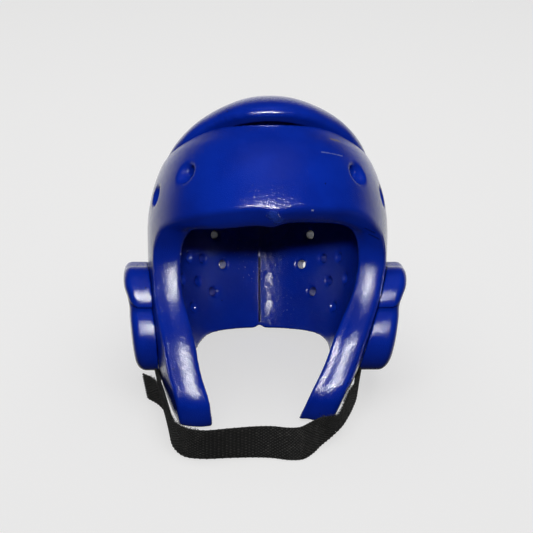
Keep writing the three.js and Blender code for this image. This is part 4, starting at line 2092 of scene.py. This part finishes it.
@dataclass(frozen=True)
class Studio:
    """The camera at the photograph's angle, a flash over the lens and pale surroundings."""

    eye: Spot = (-0.06926, -1.23389, 0.72957)
    look: Spot = (0.05059, 0.88907, -0.45496)
    lens: float = 116.3
    flash_rise: float = 0.19
    flash_size: float = 0.09
    flash_watts: float = 16.0
    ceiling_rise: float = 1.6
    ceiling_size: float = 1.0
    ceiling_watts: float = 14.0
    overhead_rise: float = 1.4
    overhead_size: float = 1.8
    overhead_watts: float = 13.0
    sky_front: float = 0.02
    sky_back: float = 1.0
    sky_start: float = 0.2
    sky_end: float = 0.9
    sky_foot: Pair = (-0.8, -0.5)
    sky_top: Pair = (0.35, -0.2)
    floor_size: float = 12.0

    def aim(self) -> Matrix:
        """The camera's place and turn.

        Returns:
            The matrix.
        """
        ahead = Vector(self.look).normalized()
        right = ahead.cross(Vector((0, math.sin(STANCE.tilt), math.cos(STANCE.tilt)))).normalized()
        up = right.cross(ahead)
        turn = Matrix((right, up, -ahead)).transposed().to_4x4()
        return Matrix.Translation(Vector(self.eye)) @ turn

    def lamp(
        self,
        name: str,
        size: float,
        watts: float,
        place: Matrix,
        lit: list[bpy.types.Object],
        glossy: bool = True,
    ) -> None:
        """Adds an area lamp that lights some of the scene only.

        Args:
            name: Name of the lamp.
            size: Width of its square.
            watts: Its power.
            place: Its place and turn.
            lit: The objects that it lights.
            glossy: Whether it shows in their gloss.
        """
        light = bpy.data.lights.new(name, "AREA")
        light.size = size
        light.energy = watts
        lamp = put_in_scene(name, light)
        lamp.matrix_world = place
        group = bpy.data.collections.new(f"lit_by_{name}")
        for thing in lit:
            group.objects.link(thing)
        lamp.light_linking.receiver_collection = group
        lamp.visible_glossy = glossy

    def set_camera(self) -> None:
        """Sets the camera at the photograph's angle."""
        lens = bpy.data.cameras.new("camera")
        lens.lens = self.lens
        lens.sensor_width = 36.0
        lens.clip_start = 0.01
        lens.clip_end = 100.0
        camera = put_in_scene("camera", lens)
        camera.matrix_world = self.aim()
        bpy.context.scene.camera = camera

    def set_surroundings(self) -> None:
        """Sets surroundings that are pale low down behind the guard and dark elsewhere."""
        world = bpy.data.worlds.new("surroundings")
        world.use_nodes = True
        graph = Graph(world.node_tree)
        way = graph.add("ShaderNodeTexCoord").outputs["Generated"]
        facing = graph.add("ShaderNodeVectorMath", {0: way, 1: self.look}, operation="DOT_PRODUCT")
        behind = graph.ramp(facing.outputs["Value"], self.sky_start, self.sky_end)
        level = graph.add("ShaderNodeSeparateXYZ", {0: way}).outputs["Z"]
        low = graph.maths("MULTIPLY", graph.ramp(level, *self.sky_foot), graph.ramp(level, *self.sky_top))
        seen = graph.maths("MULTIPLY", behind, low)
        strength = graph.maths("MULTIPLY_ADD", seen, self.sky_back - self.sky_front, self.sky_front)
        sky = graph.add("ShaderNodeBackground", {"Color": (1.0, 1.0, 1.0, 1.0), "Strength": strength})
        graph.add("ShaderNodeOutputWorld", {"Surface": sky.outputs[0]})
        bpy.context.scene.world = world

    def lay_floor(self) -> bpy.types.Object:
        """Lays the paper that the guard stands on.

        Returns:
            The floor.
        """
        size = self.floor_size
        corners = [(-size, -size, 0), (size, -size, 0), (size, size, 0), (-size, size, 0)]
        mesh = bpy.data.meshes.new("floor")
        mesh.from_pydata(corners, [], [[0, 1, 2, 3]])
        floor = put_in_scene("floor", mesh)
        floor.data.materials.append(PaleSweep().material())
        floor.visible_diffuse = False
        floor.visible_glossy = False
        return floor

    def build(self, pieces: list[bpy.types.Object]) -> None:
        """Sets the camera, lamps, surroundings and floor.

        Args:
            pieces: The guard's own pieces.
        """
        bpy.context.scene.view_settings.view_transform = "Standard"
        self.set_camera()
        flash = self.aim() @ Matrix.Translation((0.0, self.flash_rise, 0.0))
        self.lamp("flash", self.flash_size, self.flash_watts, flash, pieces)
        self.set_surroundings()
        floor = self.lay_floor()
        overhead = Matrix.Translation((0.0, 0.0, self.overhead_rise))
        self.lamp("overhead", self.overhead_size, self.overhead_watts, overhead, [floor])
        ceiling = Matrix.Translation((0.0, 0.0, self.ceiling_rise))
        self.lamp("ceiling", self.ceiling_size, self.ceiling_watts, ceiling, pieces, glossy=False)


def main() -> None:
    """Builds the guard piece by piece, then the studio."""
    logging.basicConfig(level=logging.INFO, format="%(name)s: %(message)s")
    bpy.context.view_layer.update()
    vinyl = DippedVinyl().material()
    webbing = WovenWebbing().material()
    shell = Shell("shell_foam", "shell")
    pieces = [shell.dress(shell.build(), vinyl)]
    # the seam bead gets a very dark finish: painted shade along the seam
    for ridge in shell.ridges(pieces[0], vinyl, SEAM_SHADE_FINISH.material()):
        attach(ridge, "root")
        LOG.info("%s: %d faces", ridge.name, len(ridge.data.polygons))
        pieces.append(ridge)
    crown = CrownPad("crown_foam", "crown_pad")
    pieces.append(crown.dress(crown.build(), vinyl))
    for side in Side:
        name = side.name.lower()
        pad = EarPad(f"ear_foam_{name}", f"ear_pad_{name}", side=side)
        pieces.append(pad.dress(pad.build(), vinyl))
    yarn = BlackYarn().material()
    for strap in (
        Strap("webbing_long", "strap_long", 317.0, "ear_foam_left", LONG_STRAP, pile=PILE),
        Strap("webbing_short", "strap_short", 82.5, "ear_foam_right", SHORT_STRAP),
    ):
        extras = [strap.floats(yarn)]
        extras += [strap.loops(start, end, yarn) for start, end in strap.pile]
        pieces += [strap.dress(strap.build(), webbing, extras), *extras]
    Studio().build(pieces)


if __name__ == "__main__":
    main()
